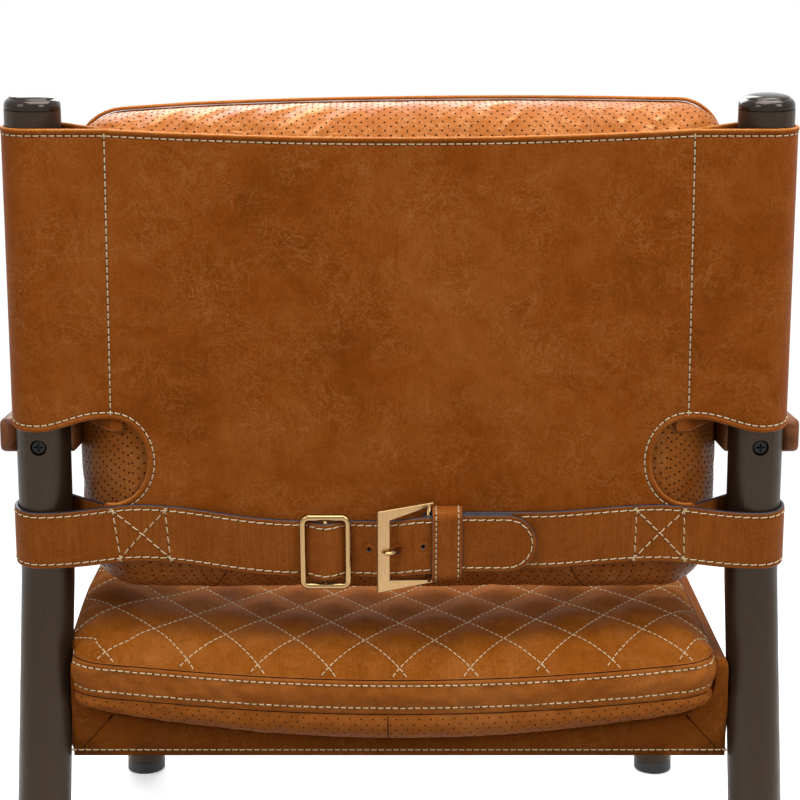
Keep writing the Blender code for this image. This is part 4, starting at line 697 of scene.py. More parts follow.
def stitch_tree():
    """Rows of saddle stitches: an arched length of thread at each step, and between two a flat dark needle hole,
    painted shade in the hole.
    """
    tree, given = new_tree(
        "stitch_rows", Pitch="Float", Share="Float", Width="Float", Slant="Float", Thread="Material", Hole="Material"
    )
    rows = add_node(tree, "GeometryNodeMeshToCurve", (given["Geometry"],))
    steps = add_node(tree, "GeometryNodeResampleCurve", {"Curve": rows, "Length": given["Pitch"]}, mode="LENGTH")
    tangent = add_node(tree, "GeometryNodeInputTangent")
    first = add_node(tree, "FunctionNodeAlignRotationToVector", {"Vector": tangent}, axis="X")
    up = {"Rotation": first, "Vector": add_node(tree, **LIE_NORMAL)}
    lie = add_node(tree, "FunctionNodeAlignRotationToVector", up, axis="Z", pivot_axis="X")
    slant = add_node(tree, "ShaderNodeCombineXYZ", {"Z": given["Slant"]})
    slant = add_node(tree, "FunctionNodeEulerToRotation", (slant,))
    turned = add_node(tree, "FunctionNodeRotateRotation", (lie, slant), rotation_space="LOCAL")
    length = add_node(tree, MATH, (given["Pitch"], given["Share"]), **TIMES)
    half, back, sunk, raised, hole_radius, gap = (
        add_node(tree, MATH, (value, factor), **TIMES) for value, factor in (
            (length, 0.5), (length, -0.5), (given["Width"], -0.35), (given["Width"], 0.85),
            (given["Width"], 0.575), (given["Pitch"], 0.5),
        )
    )
    start, crest, end, between = (
        add_node(tree, "ShaderNodeCombineXYZ", place)
        for place in ({"X": back, "Z": sunk}, {"Z": raised}, {"X": half, "Z": sunk}, {"X": gap})
    )
    bezier = {"Resolution": 4, "Start": start, "Middle": crest, "End": end}
    arch = add_node(tree, "GeometryNodeCurveQuadraticBezier", bezier)
    thread = round_bar(tree, arch, 5, given["Width"])
    threads = copies(tree, steps, thread, turned, given["Thread"], True)
    hole = add_node(tree, "GeometryNodeMeshCylinder", {"Vertices": 5, "Radius": hole_radius, "Depth": 0.0005})
    moved = {"Geometry": hole, "Translation": between, "Scale": (1.2, 1.0, 1.0)}
    holes = copies(tree, steps, add_node(tree, "GeometryNodeTransform", moved), lie, given["Hole"])
    add_node(tree, "NodeGroupOutput", (add_node(tree, "GeometryNodeJoinGeometry", ([threads, holes],)),))
    return tree


def cord_tree():
    """Round cords along lines: piping, and dark cords of painted shade in the sewn creases beside it."""
    tree, given = new_tree("sewn_cords", Width="Float", Finish="Material")
    line = add_node(tree, "GeometryNodeMeshToCurve", (given["Geometry"],))
    made = copies(tree, None, round_bar(tree, line, 8, given["Width"]), None, given["Finish"], True)
    add_node(tree, "NodeGroupOutput", (made,))
    return tree


def hole_tree():
    """Punched holes at points: a dark plug, level with the leather, painted shade inside the hole."""
    tree, given = new_tree("punched_holes", Width="Float", Finish="Material")
    radius = add_node(tree, MATH, (given["Width"], 0.5), **TIMES)
    plug = add_node(tree, "GeometryNodeMeshCylinder", {"Vertices": 7, "Radius": radius, "Depth": 0.0004})
    turn = add_node(tree, "FunctionNodeAlignRotationToVector", {"Vector": add_node(tree, **LIE_NORMAL)}, axis="Z")
    add_node(tree, "NodeGroupOutput", (copies(tree, given["Geometry"], plug, turn, given["Finish"]),))
    return tree


TREES = {"stitch": stitch_tree(), "cord": cord_tree(), "hole": hole_tree()}


def grown(name, body, kind, lines, **settings):
    """Runs a tree on lines of (points, normals) and keeps the result as a piece on a body. A closed line ends
    where it starts."""
    vertices, edges, normals = [], [], []
    for points, line_normals in lines:
        first = len(vertices)
        vertices += [tuple(p) for p in points]
        normals += [tuple(n) for n in line_normals]
        if kind != "hole":
            edges += [(first + i, first + i + 1) for i in range(len(points) - 1)]
    mesh = bpy.data.meshes.new(name)
    mesh.from_pydata(vertices, edges, [])
    lie = mesh.attributes.new("lie_normal", "FLOAT_VECTOR", "POINT")
    lie.data.foreach_set("vector", np.array(normals, np.float32).ravel())
    piece = linked(name, mesh)
    modifier = piece.modifiers.new(kind, "NODES")
    modifier.node_group = TREES[kind]
    named = {s.name: s.identifier for s in TREES[kind].interface.items_tree if s.in_out == "INPUT"}
    for label, value in settings.items():
        modifier[named[label]] = value
    applied(piece, modifier).name = name
    settle(piece, body, slot="leather")


def sewn(name, body, lines, pitch, width=0.0013, share=0.80, slant=0.0):
    grown(
        name, body, "stitch", lines, Pitch=pitch, Width=width, Share=share, Slant=slant, Thread=THREAD, Hole=NEEDLE_HOLE_SHADE
    )


def row_on(place, flat, level, closer=0.0008):
    """A row of stitches over flat points of a sheet: its points and their normals."""
    low, high = (place(flat[:, 0], flat[:, 1], np.full(len(flat), level + up)) for up in (0, closer))
    normals = high - low
    return low, normals / np.linalg.norm(normals, axis=1)[:, None]


def rows_on(place, runs, level, step=0.002):
    return [row_on(place, spaced(run, step, False), level) for run in runs]


def runs_of(points, kept):
    """Splits a closed line into its unbroken kept runs."""
    if kept.all():
        return [np.vstack([points, points[:1]])]
    first = int(np.argmin(kept))
    runs = [[]]
    for i in range(first, first + len(points) + 1):
        if kept[i % len(points)]:
            runs[-1].append(points[i % len(points)])
        elif runs[-1]:
            runs.append([])
    return [np.array(run) for run in runs if len(run) > 1]


# ---- Rear posts, caps, arms and frame ----

CAP_WALL, CAP_SPIGOT, CAP_SKIRT, CAP_EDGE, CAP_HEIGHT = 0.0026, 0.018, 0.0030, 0.0068, 0.0135


def circle(sides, first, second):
    """Points round the circle or ellipse that two arms span."""
    angles = np.linspace(0, 2 * pi, sides, endpoint=False)
    return np.outer(np.cos(angles), first) + np.outer(np.sin(angles), second)


def turned_rings(centre, axis, profile, sides):
    """Rings of a turned piece. The profile lists (distance along the axis, radius)."""
    axis = np.array(axis, float) / np.linalg.norm(axis)
    first = np.cross(axis, (0, 1, 0))
    first /= np.linalg.norm(first)
    ring = circle(sides, first, np.cross(axis, first))
    return [centre + axis * along + ring * radius for along, radius in profile]


def make_caps():
    """Domed caps: a short skirt, a round shoulder and a low dome."""
    rim, inner = POST_RADIUS, POST_RADIUS - CAP_WALL
    profile = [(-CAP_SPIGOT, inner), (0.0003, inner), (0.0003, rim - 0.0006), (0.0007, rim), (CAP_SKIRT, rim)]
    for i in range(1, 10):
        angle = pi / 2 * i / 10 * 0.86
        profile.append((CAP_SKIRT + CAP_EDGE * sin(angle), rim - CAP_EDGE + CAP_EDGE * cos(angle)))
    height, radius = profile[-1]
    for i in range(1, 12):
        angle = pi / 2 * i / 12
        profile.append((height + (CAP_HEIGHT - height) * sin(angle), radius * cos(angle)))
    for name, side in SIDES:
        low, seat = (on_back(side * (POST_HALF + post_shift(rise)), rise, 0.0) for rise in (0.0, CAP_SEAT_RISE))
        cap = new_piece(f"domed_cap_{name}", *loft(turned_rings(seat, seat - low, profile, 64)), [CAP_STEEL])
        cap.data.set_sharp_from_angle(angle=radians(50))
        settle(cap, "chair", f"post_cap_{name}", slot="gunmetal")


def make_frame():
    """Posts, arms, screws and glides keep their solids' shape and get their finish. The rest is plain steel."""
    for name, _ in SIDES:
        for kind, material, slot in (
            ("rear_post", POST_STEEL, "gunmetal"), ("front_post", POST_STEEL, "gunmetal"), ("arm", WALNUT, "wood"),
            ("arm_rear_screw", BLACK_SCREW, "black_steel"), ("foot_rear", GLIDE, "glide"),
            ("foot_front", GLIDE, "glide"),
        ):
            settle(finished_node(f"{kind}_{name}", material), "chair", f"{kind}_{name}", slot=slot)
    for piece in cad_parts.values():
        if not piece.hide_render:
            for slot in piece.material_slots:
                slot.link = "OBJECT"
                slot.material = STEEL


# ---- Back sling ----


def sling_plan():
    """Plan line of the sling from its middle, along the rear, round the left post to the front flap's end."""
    line = [(x, SLEEVE_MIDDLE) for x in np.linspace(0, POST_HALF, 60)]
    lap_out = SLEEVE_MIDDLE - SLING_LEATHER - 0.0003
    away = SLEEVE_SEAM_HALF - POST_HALF
    last = atan2(lap_out, away) + acos(SLEEVE_MIDDLE / hypot(away, lap_out)) - 2 * pi
    for angle in np.linspace(pi / 2, last, 70)[1:]:
        line.append((POST_HALF + SLEEVE_MIDDLE * cos(angle), SLEEVE_MIDDLE * sin(angle)))
    line.append((SLEEVE_SEAM_HALF, lap_out))
    line.append((SLEEVE_SEAM_HALF - FLAP_LAP, lap_out))
    return PlanLine(line, -1)


SLING_PLAN = sling_plan()


def place_sling(along, rise, level):
    """A point of the sling: along its plan line, up the back, and out of its surface."""
    side = np.sign(along)
    across, out, normal_x, normal_out = SLING_PLAN.at(np.abs(along))
    share = np.minimum(np.abs(across) / SLEEVE_SEAM_HALF, 1)
    wave = 0.0006 * np.sin(across * 41 + 1.3) * np.sin(rise * 17 + 0.6) * (1 - share ** 4)
    across = across + normal_x * level + post_shift(rise) * share
    return on_back(side * across, rise, out + normal_out * (level + wave))


def sling_low(along):
    """Height of the sleeve's lower hem at a length along the plan line beyond the post."""
    _, out, _, _ = SLING_PLAN.at(along)
    share = eased((out + SLEEVE_MIDDLE) / (2 * SLEEVE_MIDDLE))
    return SLEEVE_FRONT_BOTTOM + (SLEEVE_BOTTOM - SLEEVE_FRONT_BOTTOM) * share


def sling_top(along):
    across, _, _, _ = SLING_PLAN.at(along)
    share = np.minimum(np.abs(across) / SLEEVE_SEAM_HALF, 1)
    return SLING_TOP - SLING_TOP_SAG * (1 - share ** 2)


def sling_outline():
    """The sling laid flat: straight bottom, tongue, notch, sleeve hem, lap and sagging top, mirrored."""
    end = SLING_PLAN.total
    half = [(0, SLING_BOTTOM), (TONGUE_HALF, SLING_BOTTOM)]
    half += [(TONGUE_HALF, NOTCH_FOOT - 0.0015), (TONGUE_HALF - 0.0015, NOTCH_FOOT)]
    middle, height = (NOTCH_TOP + NOTCH_FOOT) / 2, (NOTCH_TOP - NOTCH_FOOT) / 2
    for angle in np.linspace(-pi / 2, -3 * pi / 2, 50):
        half.append((NOTCH_CENTRE_HALF + NOTCH_REACH * cos(angle), middle + height * sin(angle)))
    for share in np.linspace(1, 0, 24):
        low = SLEEVE_BOTTOM + (NOTCH_TOP - SLEEVE_BOTTOM) * float(eased(share))
        half.append((POST_HALF + (TONGUE_HALF + 0.0006 - POST_HALF) * share, low))
    for along in np.linspace(POST_HALF, end, 50)[1:]:
        half.append((along, float(sling_low(along))))
    for along in np.linspace(end, 0, 120):
        half.append((along, float(sling_top(along))))
    mirrored = [(-a, b) for a, b in reversed(half[1:-1])]
    return spaced(half + mirrored, 0.0032)


def sling_levels(distance, flat):
    """The folded edge stands up as a roll, and the stitches pull a furrow beside it."""
    half = SLING_LEATHER / 2
    start = round_start(distance, 0.0022)
    free = eased((flat[:, 1] - (NOTCH_FOOT - 0.012)) / 0.010)
    roll = 0.0009 * free * (1 - eased((distance - 0.0030) / 0.0022))
    furrow = 0.0006 * free * dip(distance, EDGE_STITCH, 0.0011)
    seam = np.abs(np.abs(flat[:, 0]) - SLEEVE_SEAM_HALF)
    upright = (flat[:, 1] > NOTCH_TOP) & (np.abs(flat[:, 0]) < 0.31)
    furrow += np.where(upright, 0.0006 * dip(seam, 0, 0.0012), 0)
    return (half + roll) * start - furrow, -half * start


def make_sling():
    outline = sling_outline()
    reach = SLING_PLAN.total
    beside = np.arange(-2, 3) * 0.001
    columns = np.r_[np.arange(-reach, reach, 0.004), SLEEVE_SEAM_HALF + beside, beside - SLEEVE_SEAM_HALF]
    # The folded edge takes the lighter roll leather: pull-up paling at the bend, and a painted highlight from the top
    # light
    sling = leather_sheet(
        "sling_leather_back", outline, [], np.unique(columns.round(5)), np.arange(SLING_BOTTOM, SLING_TOP, 0.007),
        place_sling, sling_levels, [LEATHER["sling"], LEATHER["roll"]], 0.0016,
    )
    settle(sling, "chair", "back_sling", slot="leather")
    moved, kept = inset_line(outline, EDGE_STITCH)
    kept &= (moved[:, 1] > NOTCH_FOOT - 0.002) & (np.abs(moved[:, 0]) < reach - 0.009)
    runs = runs_of(moved, kept)
    low, high = NOTCH_TOP + EDGE_STITCH, float(sling_top(SLEEVE_SEAM_HALF)) - EDGE_STITCH
    for side in (1, -1):
        runs.append([(side * SLEEVE_SEAM_HALF, low), (side * SLEEVE_SEAM_HALF, high)])
    sewn("sling_stitches", "chair", rows_on(place_sling, runs, SLING_LEATHER / 2 - 0.0002), SEAM_PITCH)


# ---- Belt ----

# Where the crossed box of stitches has its uprights: the outer one's low and high end, then the inner one's
LEFT_BOX = (0.2515, 0.2565, 0.2065, 0.2095)
RIGHT_BOX = (0.2560, 0.2545, 0.2115, 0.2120)
PRONG_HOLE_PLACE = 0.0026


def belt_centre(across):
    """Height of the belt's middle line, with across positive on the left."""
    box = (BOX_OUTER_HALF + BOX_INNER_HALF) / 2
    knots = np.array((
        (-POST_HALF, BELT_AT_POST), (-box, BELT_AT_BOX), (-BELT_TIP_HALF, BELT_AT_BUCKLE),
        (-HINGE_HALF_PLACE, BELT_AT_BUCKLE), (SLIDER_CENTRE - SLIDER_WIDTH / 2, BELT_AT_SLIDER),
        (SLIDER_CENTRE + SLIDER_WIDTH / 2, BELT_AT_SLIDER), (box, BELT_AT_BOX), (POST_HALF, BELT_AT_POST),
    ))
    across = np.clip(across, -POST_HALF, POST_HALF - 1e-9)
    i = np.clip(np.searchsorted(knots[:, 0], across, side="right") - 1, 0, len(knots) - 2)
    start, end = knots[i], knots[i + 1]
    share = eased((across - start[..., 0]) / (end[..., 0] - start[..., 0]))
    return start[..., 1] + (end[..., 1] - start[..., 1]) * share


def loop_points():
    """Plan points of a belt's loop from its sewn end in front of the sling, round the post, to the box."""
    away = TONGUE_HALF - POST_HALF
    first = atan2(BELT_FRONT_OUT, away) + acos(LOOP_RADIUS / hypot(away, BELT_FRONT_OUT)) - 2 * pi
    points = [(x, BELT_FRONT_OUT) for x in np.linspace(BOX_INNER_HALF - 0.004, TONGUE_HALF, 16)]
    for angle in np.linspace(first, pi / 2, 60):
        points.append((POST_HALF + LOOP_RADIUS * cos(angle), LOOP_RADIUS * sin(angle)))
    return ease_to(points, (TONGUE_HALF + 0.004, BELT_BOX_OUT), (BOX_INNER_HALF, BELT_BOX_OUT))


def ease_to(points, *targets):
    """Adds plan points up to each target, easing their height out of the plane."""
    for across, out in targets:
        start, level = points[-1]
        for share in np.linspace(0, 1, 15)[1:]:
            points.append((start + (across - start) * share, level + (out - level) * float(eased(share))))
    return points


def left_belt_plan():
    """Loop, slider, over its centre bar, under the buckle's front bar, over the fold, and the tail."""
    window = SLIDER_WIDTH / 2 - SLIDER_BAR
    return PlanLine(ease_to(
        loop_points(), ((BOX_INNER_HALF + SLIDER_CENTRE) / 2, BELT_RUN_OUT), (SLIDER_CENTRE + window, BELT_RUN_OUT),
        (SLIDER_CENTRE, WEAVE_OUT), (SLIDER_CENTRE - window, BELT_RUN_OUT), (-0.006, TAIL_OVER_FOLD),
        (-HINGE_HALF_PLACE - FOLD_RADIUS / 2, TAIL_OVER_FOLD), (-HINGE_HALF_PLACE - 0.026, TAIL_OUT),
        (-BELT_TIP_HALF, TAIL_OUT),
    ))


def right_belt_plan():
    """Mirrored: loop, run to the buckle, round the hinge bar and back over itself to the sewn end."""
    middle = (BOX_INNER_HALF + HINGE_HALF_PLACE) / 2
    points = ease_to(loop_points(), (middle, BELT_RUN_OUT), (HINGE_HALF_PLACE, BELT_RUN_OUT))
    for angle in np.linspace(-pi / 2, -3 * pi / 2, 24)[1:]:
        points.append((HINGE_HALF_PLACE + FOLD_RADIUS * cos(angle), HINGE_OUT + FOLD_RADIUS * sin(angle)))
    return PlanLine(ease_to(points, (HINGE_HALF_PLACE + 0.022, SEWN_OUT), (0.100, SEWN_OUT)))


def belt_placer(plan, side):
    def place(along, across_belt, level):
        across, out, normal_x, normal_out = plan.at(along)
        share = eased((across - BOX_OUTER_HALF) / (POST_HALF - BOX_OUTER_HALF))
        rise = belt_centre(side * across) + across_belt
        moved = across + normal_x * level + post_shift(rise) * share
        return on_back(side * moved, rise, out + normal_out * level)
    return place


def belt_levels(distance, flat):
    """Square shoulders eased by 1 mm, and the furrow that the stitches pull."""
    half = BELT_LEATHER / 2
    shoulder = 0.0009 * (1 - round_start(distance, 0.0009))
    furrow = 0.00045 * dip(distance, BELT_STITCH, 0.0011)
    crown = 0.0002 * eased(distance / 0.015)
    return half - shoulder - furrow + crown, -half + shoulder


def circle_loop(along, across, radius, count=18, stretch=1.0):
    return circle(count, (radius * stretch, 0), (0, radius)) + (along, across)


def box_rows(plan, box):
    """The crossed box of stitches that holds a loop: two uprights and two diagonals."""
    reach = BELT_HALF - BELT_STITCH
    lengths = [plan.length_at(across, plan.total * 0.2) for across in box]
    outer_low, outer_high, inner_low, inner_high = zip(lengths, (-reach, reach, -reach, reach))
    pairs = ((outer_low, outer_high), (inner_low, inner_high), (outer_low, inner_high), (outer_high, inner_low))
    return [spaced(pair, 0.002, False) for pair in pairs]


def make_strap(side_name, plan, side, outline, holes, columns, last, box):
    """One strap. It gives the rows of its stitches: along its edges up to a last length, and the box."""
    place = belt_placer(plan, side)
    strap = leather_sheet(
        f"belt_{side_name}_strap", outline, holes, columns, np.arange(-BELT_HALF, BELT_HALF, 0.006), place,
        belt_levels, [LEATHER["belt"], EDGE_PAINT], 0.00075,
    )
    settle(strap, "chair", f"belt_{side_name}", slot="leather")
    moved, kept = inset_line(outline, BELT_STITCH)
    kept &= (moved[:, 0] > 0.004) & (moved[:, 0] < last)
    lines = rows_on(place, runs_of(moved, kept), BELT_LEATHER / 2 - 0.0001)
    return lines + [row_on(place, row, BELT_LEATHER / 2 + 0.0002) for row in box_rows(plan, box)]


def make_belts():
    plan = left_belt_plan()
    end, middle = plan.total, PRONG_CENTRE - BELT_AT_BUCKLE
    turns = np.linspace(-pi / 2, pi / 2, 28)
    tip = [(end - BELT_HALF + BELT_HALF * cos(a), BELT_HALF * sin(a)) for a in turns]
    outline = spaced([(0, -BELT_HALF)] + tip + [(0, BELT_HALF)], 0.003)
    weave = plan.length_at(SLIDER_CENTRE - SLIDER_WIDTH / 2, end * 0.3)
    holes = [circle_loop(plan.length_at(across, weave), 0.0, 0.00165) for across in BELT_HOLES]
    holes.append(circle_loop(plan.length_at(PRONG_HOLE_PLACE, weave), middle, 0.0025, 24, 1.3))
    lines = make_strap("left", plan, 1, outline, holes, np.arange(0, end, 0.0032), np.inf, LEFT_BOX)
    plan = right_belt_plan()
    end = plan.total
    outline = spaced([(0, -BELT_HALF), (end, -BELT_HALF), (end, BELT_HALF), (0, BELT_HALF)], 0.003)
    fold = plan.length_at(HINGE_HALF_PLACE - FOLD_RADIUS * 0.99, end * 0.3)
    corners = ((-1, -1), (1, -1), (1, 1), (-1, 1))
    window = spaced([(fold + x * 0.010, middle + y * 0.0052) for x, y in corners], 0.003)
    columns = np.unique(np.r_[np.arange(0, end, 0.0032), np.arange(fold - 0.012, fold + 0.012, 0.0012)])
    last = plan.length_at(BELT_TIP_HALF - 0.012, end * 0.3)
    lines += make_strap("right", plan, -1, outline, [window], columns, last, RIGHT_BOX)
    sewn("belt_stitches", "chair", lines, SADDLE_PITCH, 0.0012, 0.84, radians(5))


KEEPER_STITCH, KEEPER_CORNER = 0.0036, 0.0062
KEEPER_EDGE_ROWS = (0.0002, 0.0005, 0.0009, 0.0016, 0.0026, 0.0036, 0.0046, 0.006)


def keeper_line(over):
    """Middle line of the keeper's loop in the plane across the belt, over a level of the tail."""
    low = BELT_RUN_OUT - BELT_LEATHER / 2 - 0.0005 - KEEPER_LEATHER / 2
    high = over + BELT_LEATHER / 2 + 0.0010 + KEEPER_LEATHER - KEEPER_LEATHER / 2
    half = KEEPER_HALF_HEIGHT - KEEPER_LEATHER / 2
    radius = KEEPER_CORNER
    points = [(0.0, low)]
    for sign, level, start in ((1, low, -pi / 2), (1, high, 0), (-1, high, pi / 2), (-1, low, pi)):
        shift = radius if level == low else -radius
        for angle in np.linspace(start, start + pi / 2, 9):
            points.append((sign * (half - radius) + radius * cos(angle), level + shift + radius * sin(angle)))
    return PlanLine(points + [(0.0, low)])


def make_keeper():
    near, far = keeper_line(TAIL_OVER_FOLD), keeper_line(TAIL_OUT)

    def place(along, width, level):
        share = width / KEEPER_WIDTH
        first, second = near.at(along / far.total * near.total), far.at(along)
        rise, out, normal_rise, normal_out = [a + (b - a) * share for a, b in zip(first, second)]
        rise = BUCKLE_CENTRE + rise + normal_rise * level
        return on_back(-KEEPER_START - width, rise, out + normal_out * level)

    def levels(distance, flat):
        shoulder = 0.0007 * (1 - round_start(distance, 0.0007))
        furrow = 0.0004 * dip(distance, KEEPER_STITCH, 0.0010)
        return KEEPER_LEATHER / 2 - shoulder - furrow, -KEEPER_LEATHER / 2 + shoulder

    end = far.total - 0.0004
    outline = spaced([(0.0004, 0), (end, 0), (end, KEEPER_WIDTH), (0.0004, KEEPER_WIDTH)], 0.0025)
    keeper = leather_sheet(
        "keeper_loop", outline, [], np.arange(0.001, end, 0.0016), np.arange(0.002, KEEPER_WIDTH, 0.004), place, levels,
        [LEATHER["belt"], EDGE_PAINT], 0.0006, KEEPER_EDGE_ROWS,
    )
    settle(keeper, "keeper", "belt_keeper", slot="leather")
    runs = [[(0.004, width), (end - 0.004, width)] for width in (KEEPER_STITCH, KEEPER_WIDTH - KEEPER_STITCH)]
    sewn("keeper_stitches", "keeper", rows_on(place, runs, KEEPER_LEATHER / 2 - 0.0001, 0.0015), 0.0051, 0.0012, 0.78)


# ---- Slider, buckle and prong ----


def straight_bar(name, body, low, radius, length):
    """A straight round bar up the back."""
    rings = turned_rings(low, BACK_AXIS, [(0.0, radius), (length, radius)], 20)
    settle(new_piece(name, *loft(rings), [BRASS_EDGE]), body, slot="brass")


def make_slider():
    """Polished round bar bent to a rounded rectangle, with a thinner bar across its middle."""
    centre = float(belt_centre(np.array(SLIDER_CENTRE))) - 0.0015
    radius = SLIDER_CORNER - SLIDER_BAR
    half_u, half_v = SLIDER_WIDTH / 2 - SLIDER_BAR, SLIDER_HEIGHT / 2 - SLIDER_BAR
    rings = []
    for sign_u, sign_v, quarter in ((1, 1, 0), (-1, 1, 1), (-1, -1, 2), (1, -1, 3)):
        for angle in np.linspace(0, pi / 2, 10) + quarter * pi / 2:
            u = sign_u * (half_u - radius) + radius * cos(angle)
            v = sign_v * (half_v - radius) + radius * sin(angle)
            outward = np.array((cos(angle), 0, 0)) + BACK_AXIS * sin(angle)
            middle = on_back(SLIDER_CENTRE + u, centre + v, SLIDER_OUT)
            rings.append(middle + SLIDER_BAR * circle(24, outward, BACK_NORMAL))
    settle(new_piece("slider_loop", *loft(rings, True), [BRASS_EDGE]), "chair", "slider_ring", slot="brass")
    low = on_back(SLIDER_CENTRE, centre - half_v, SLIDER_OUT)
    straight_bar("slider_middle_bar", "chair", low, SLIDER_CENTRE_BAR, 2 * half_v)


def on_buckle(reach, rise, out):
    """World points of the buckle's own plane, tilted out about its hinge bar."""
    across = -HINGE_HALF_PLACE + reach * cos(BUCKLE_TILT) - out * sin(BUCKLE_TILT)
    level = HINGE_OUT + reach * sin(BUCKLE_TILT) + out * cos(BUCKLE_TILT)
    return on_back(across, BUCKLE_CENTRE + rise, level)


def make_buckle():
    """Flat brass frame with square corners, brushed faces and polished bevels, and its hinge bar."""
    half, tail = BUCKLE_HALF_HEIGHT, -BUCKLE_HINGE_MARGIN
    inner, side, end = BUCKLE_REACH - BUCKLE_FRONT_WIDTH, half - BUCKLE_SIDE_WIDTH, half - BUCKLE_TAIL_WIDTH
    outline = (
        (tail, half), (tail, end), (inner, side), (inner, -side), (tail, -end), (tail, -half), (BUCKLE_REACH, -half),
        (BUCKLE_REACH, half),
    )
    rings = [np.array([on_buckle(u, v, sign * BUCKLE_PLATE / 2) for u, v in outline]) for sign in (-1, 1)]
    buckle = new_piece("buckle_plate", *loft(rings), [BRASS_FACE, BRASS_EDGE], smooth=False)
    set_all(
        buckle.modifiers.new("polished_bevel", "BEVEL"), width=0.0008, segments=3, limit_method="ANGLE",
        angle_limit=radians(30), material=1, harden_normals=True,
    )
    settle(buckle, "buckle", "buckle_frame", slot="brass")
    low = on_buckle(0.0, BUCKLE_TAIL_WIDTH / 2 - half, 0.0)
    straight_bar("buckle_hinge_bar", "buckle", low, HINGE_BAR, 2 * half - BUCKLE_TAIL_WIDTH)


def make_prong():
    """A bent round bar with a blunt tip that rests on the buckle's front bar, looped round the hinge bar."""
    rise = PRONG_CENTRE - BUCKLE_CENTRE
    rest = BUCKLE_PLATE / 2 + 0.0003 + PRONG_RADIUS
    line = curve_through([(PRONG_REACH * along, rest * out) for along, out in PRONG_LINE_SHARES], 8)
    across, outward = (on_buckle(*step) - on_buckle(0.0, 0.0, 0.0) for step in ((1.0, 0.0, 0.0), (0.0, 0.0, 1.0)))
    rings = []
    for (reach, out), slope in zip(line, np.gradient(line, axis=0)):
        slope = slope / np.linalg.norm(slope)
        upward = outward * slope[0] - across * slope[1]
        gone = (PRONG_REACH - reach) / 0.0022
        radius = PRONG_RADIUS * float(np.sqrt(np.clip(1 - (1 - min(gone, 1)) ** 2, 0.02, 1)))
        rings.append(on_buckle(reach, rise, out) + radius * circle(20, upward, BACK_AXIS))
    settle(new_piece("prong_blade", *loft(rings), [BRASS_EDGE]), "prong", "buckle_prong", slot="brass")
    inner, outer, half, soft = HINGE_BAR + 0.0003, HINGE_BAR + 0.0019, 0.0024, 0.0003
    profile = (
        (inner, -half), (outer - soft, -half), (outer, soft - half), (outer, half - soft), (outer - soft, half),
        (inner, half),
    )
    rings = [on_buckle(0.0, rise + end, 0.0) + radius * circle(20, across, outward) for radius, end in profile]
    loop = new_piece("prong_loop", *loft(rings, True), [BRASS_EDGE])
    loop.data.set_sharp_from_angle(angle=radians(50))
    settle(loop, "prong", slot="brass")


# ---- Seat deck ----

DECK_HALF, DECK_WALL_HALF, DECK_TOP, DECK_HEM, DECK_ROLL = 0.30093, 0.28953, -0.0090, -0.102, 0.0040
DECK_SETBACK, DECK_END_ROLL, DECK_LEATHER = 0.016, 0.0060, 0.0025


def deck_skin():
    """The skin's points: rows from the rear hem over the seat to the front one, of one section across."""
    top, roll, quarter = DECK_TOP, DECK_ROLL, np.linspace(0, pi / 2, 8)
    section = [(DECK_HALF, level) for level in (DECK_HEM, -0.07, -0.04, top - roll)]
    section += [(DECK_HALF - roll + roll * cos(a), top - roll + roll * sin(a)) for a in quarter[1:]]
    section += [(DECK_WALL_HALF + roll - roll * sin(a), top - roll + roll * cos(a)) for a in quarter]
    section += [tuple(p) for p in curve_through((
        (DECK_WALL_HALF, -0.028), (DECK_WALL_HALF - 0.0030, -0.037), (0.2786, -0.0480),
        (DISH_SHOULDER, -DISH_DROP), (0.248, float(dish_level(0.248))),
    ), 5)]
    section += [(x, float(dish_level(x))) for x in np.linspace(0.243, 0, 24)]
    section = np.array(section)
    full = np.vstack([section, section[-2::-1] * (-1, 1)])
    rear, front, roll = DECK_SETBACK, SEAT_DEPTH - DECK_SETBACK, DECK_END_ROLL
    walls, turns = (-DECK_HEM, 0.070, 0.040, 0.020), np.linspace(0, pi / 2, 7)
    rows = [(rear, drop) for drop in (*walls, roll)]
    rows += [(rear + roll * (1 - cos(a)), roll * (1 - sin(a))) for a in turns[1:]]
    rows += [(y, 0.0) for y in np.linspace(rear + roll, front - roll, 50)[1:-1]]
    rows += [(front - roll * (1 - cos(a)), roll * (1 - sin(a))) for a in np.linspace(pi / 2, 0, 7)]
    rows += [(front, drop) for drop in reversed(walls)]
    return [on_seat(full[:, 0], forward, np.maximum(full[:, 1] - drop, DECK_HEM)) for forward, drop in rows]


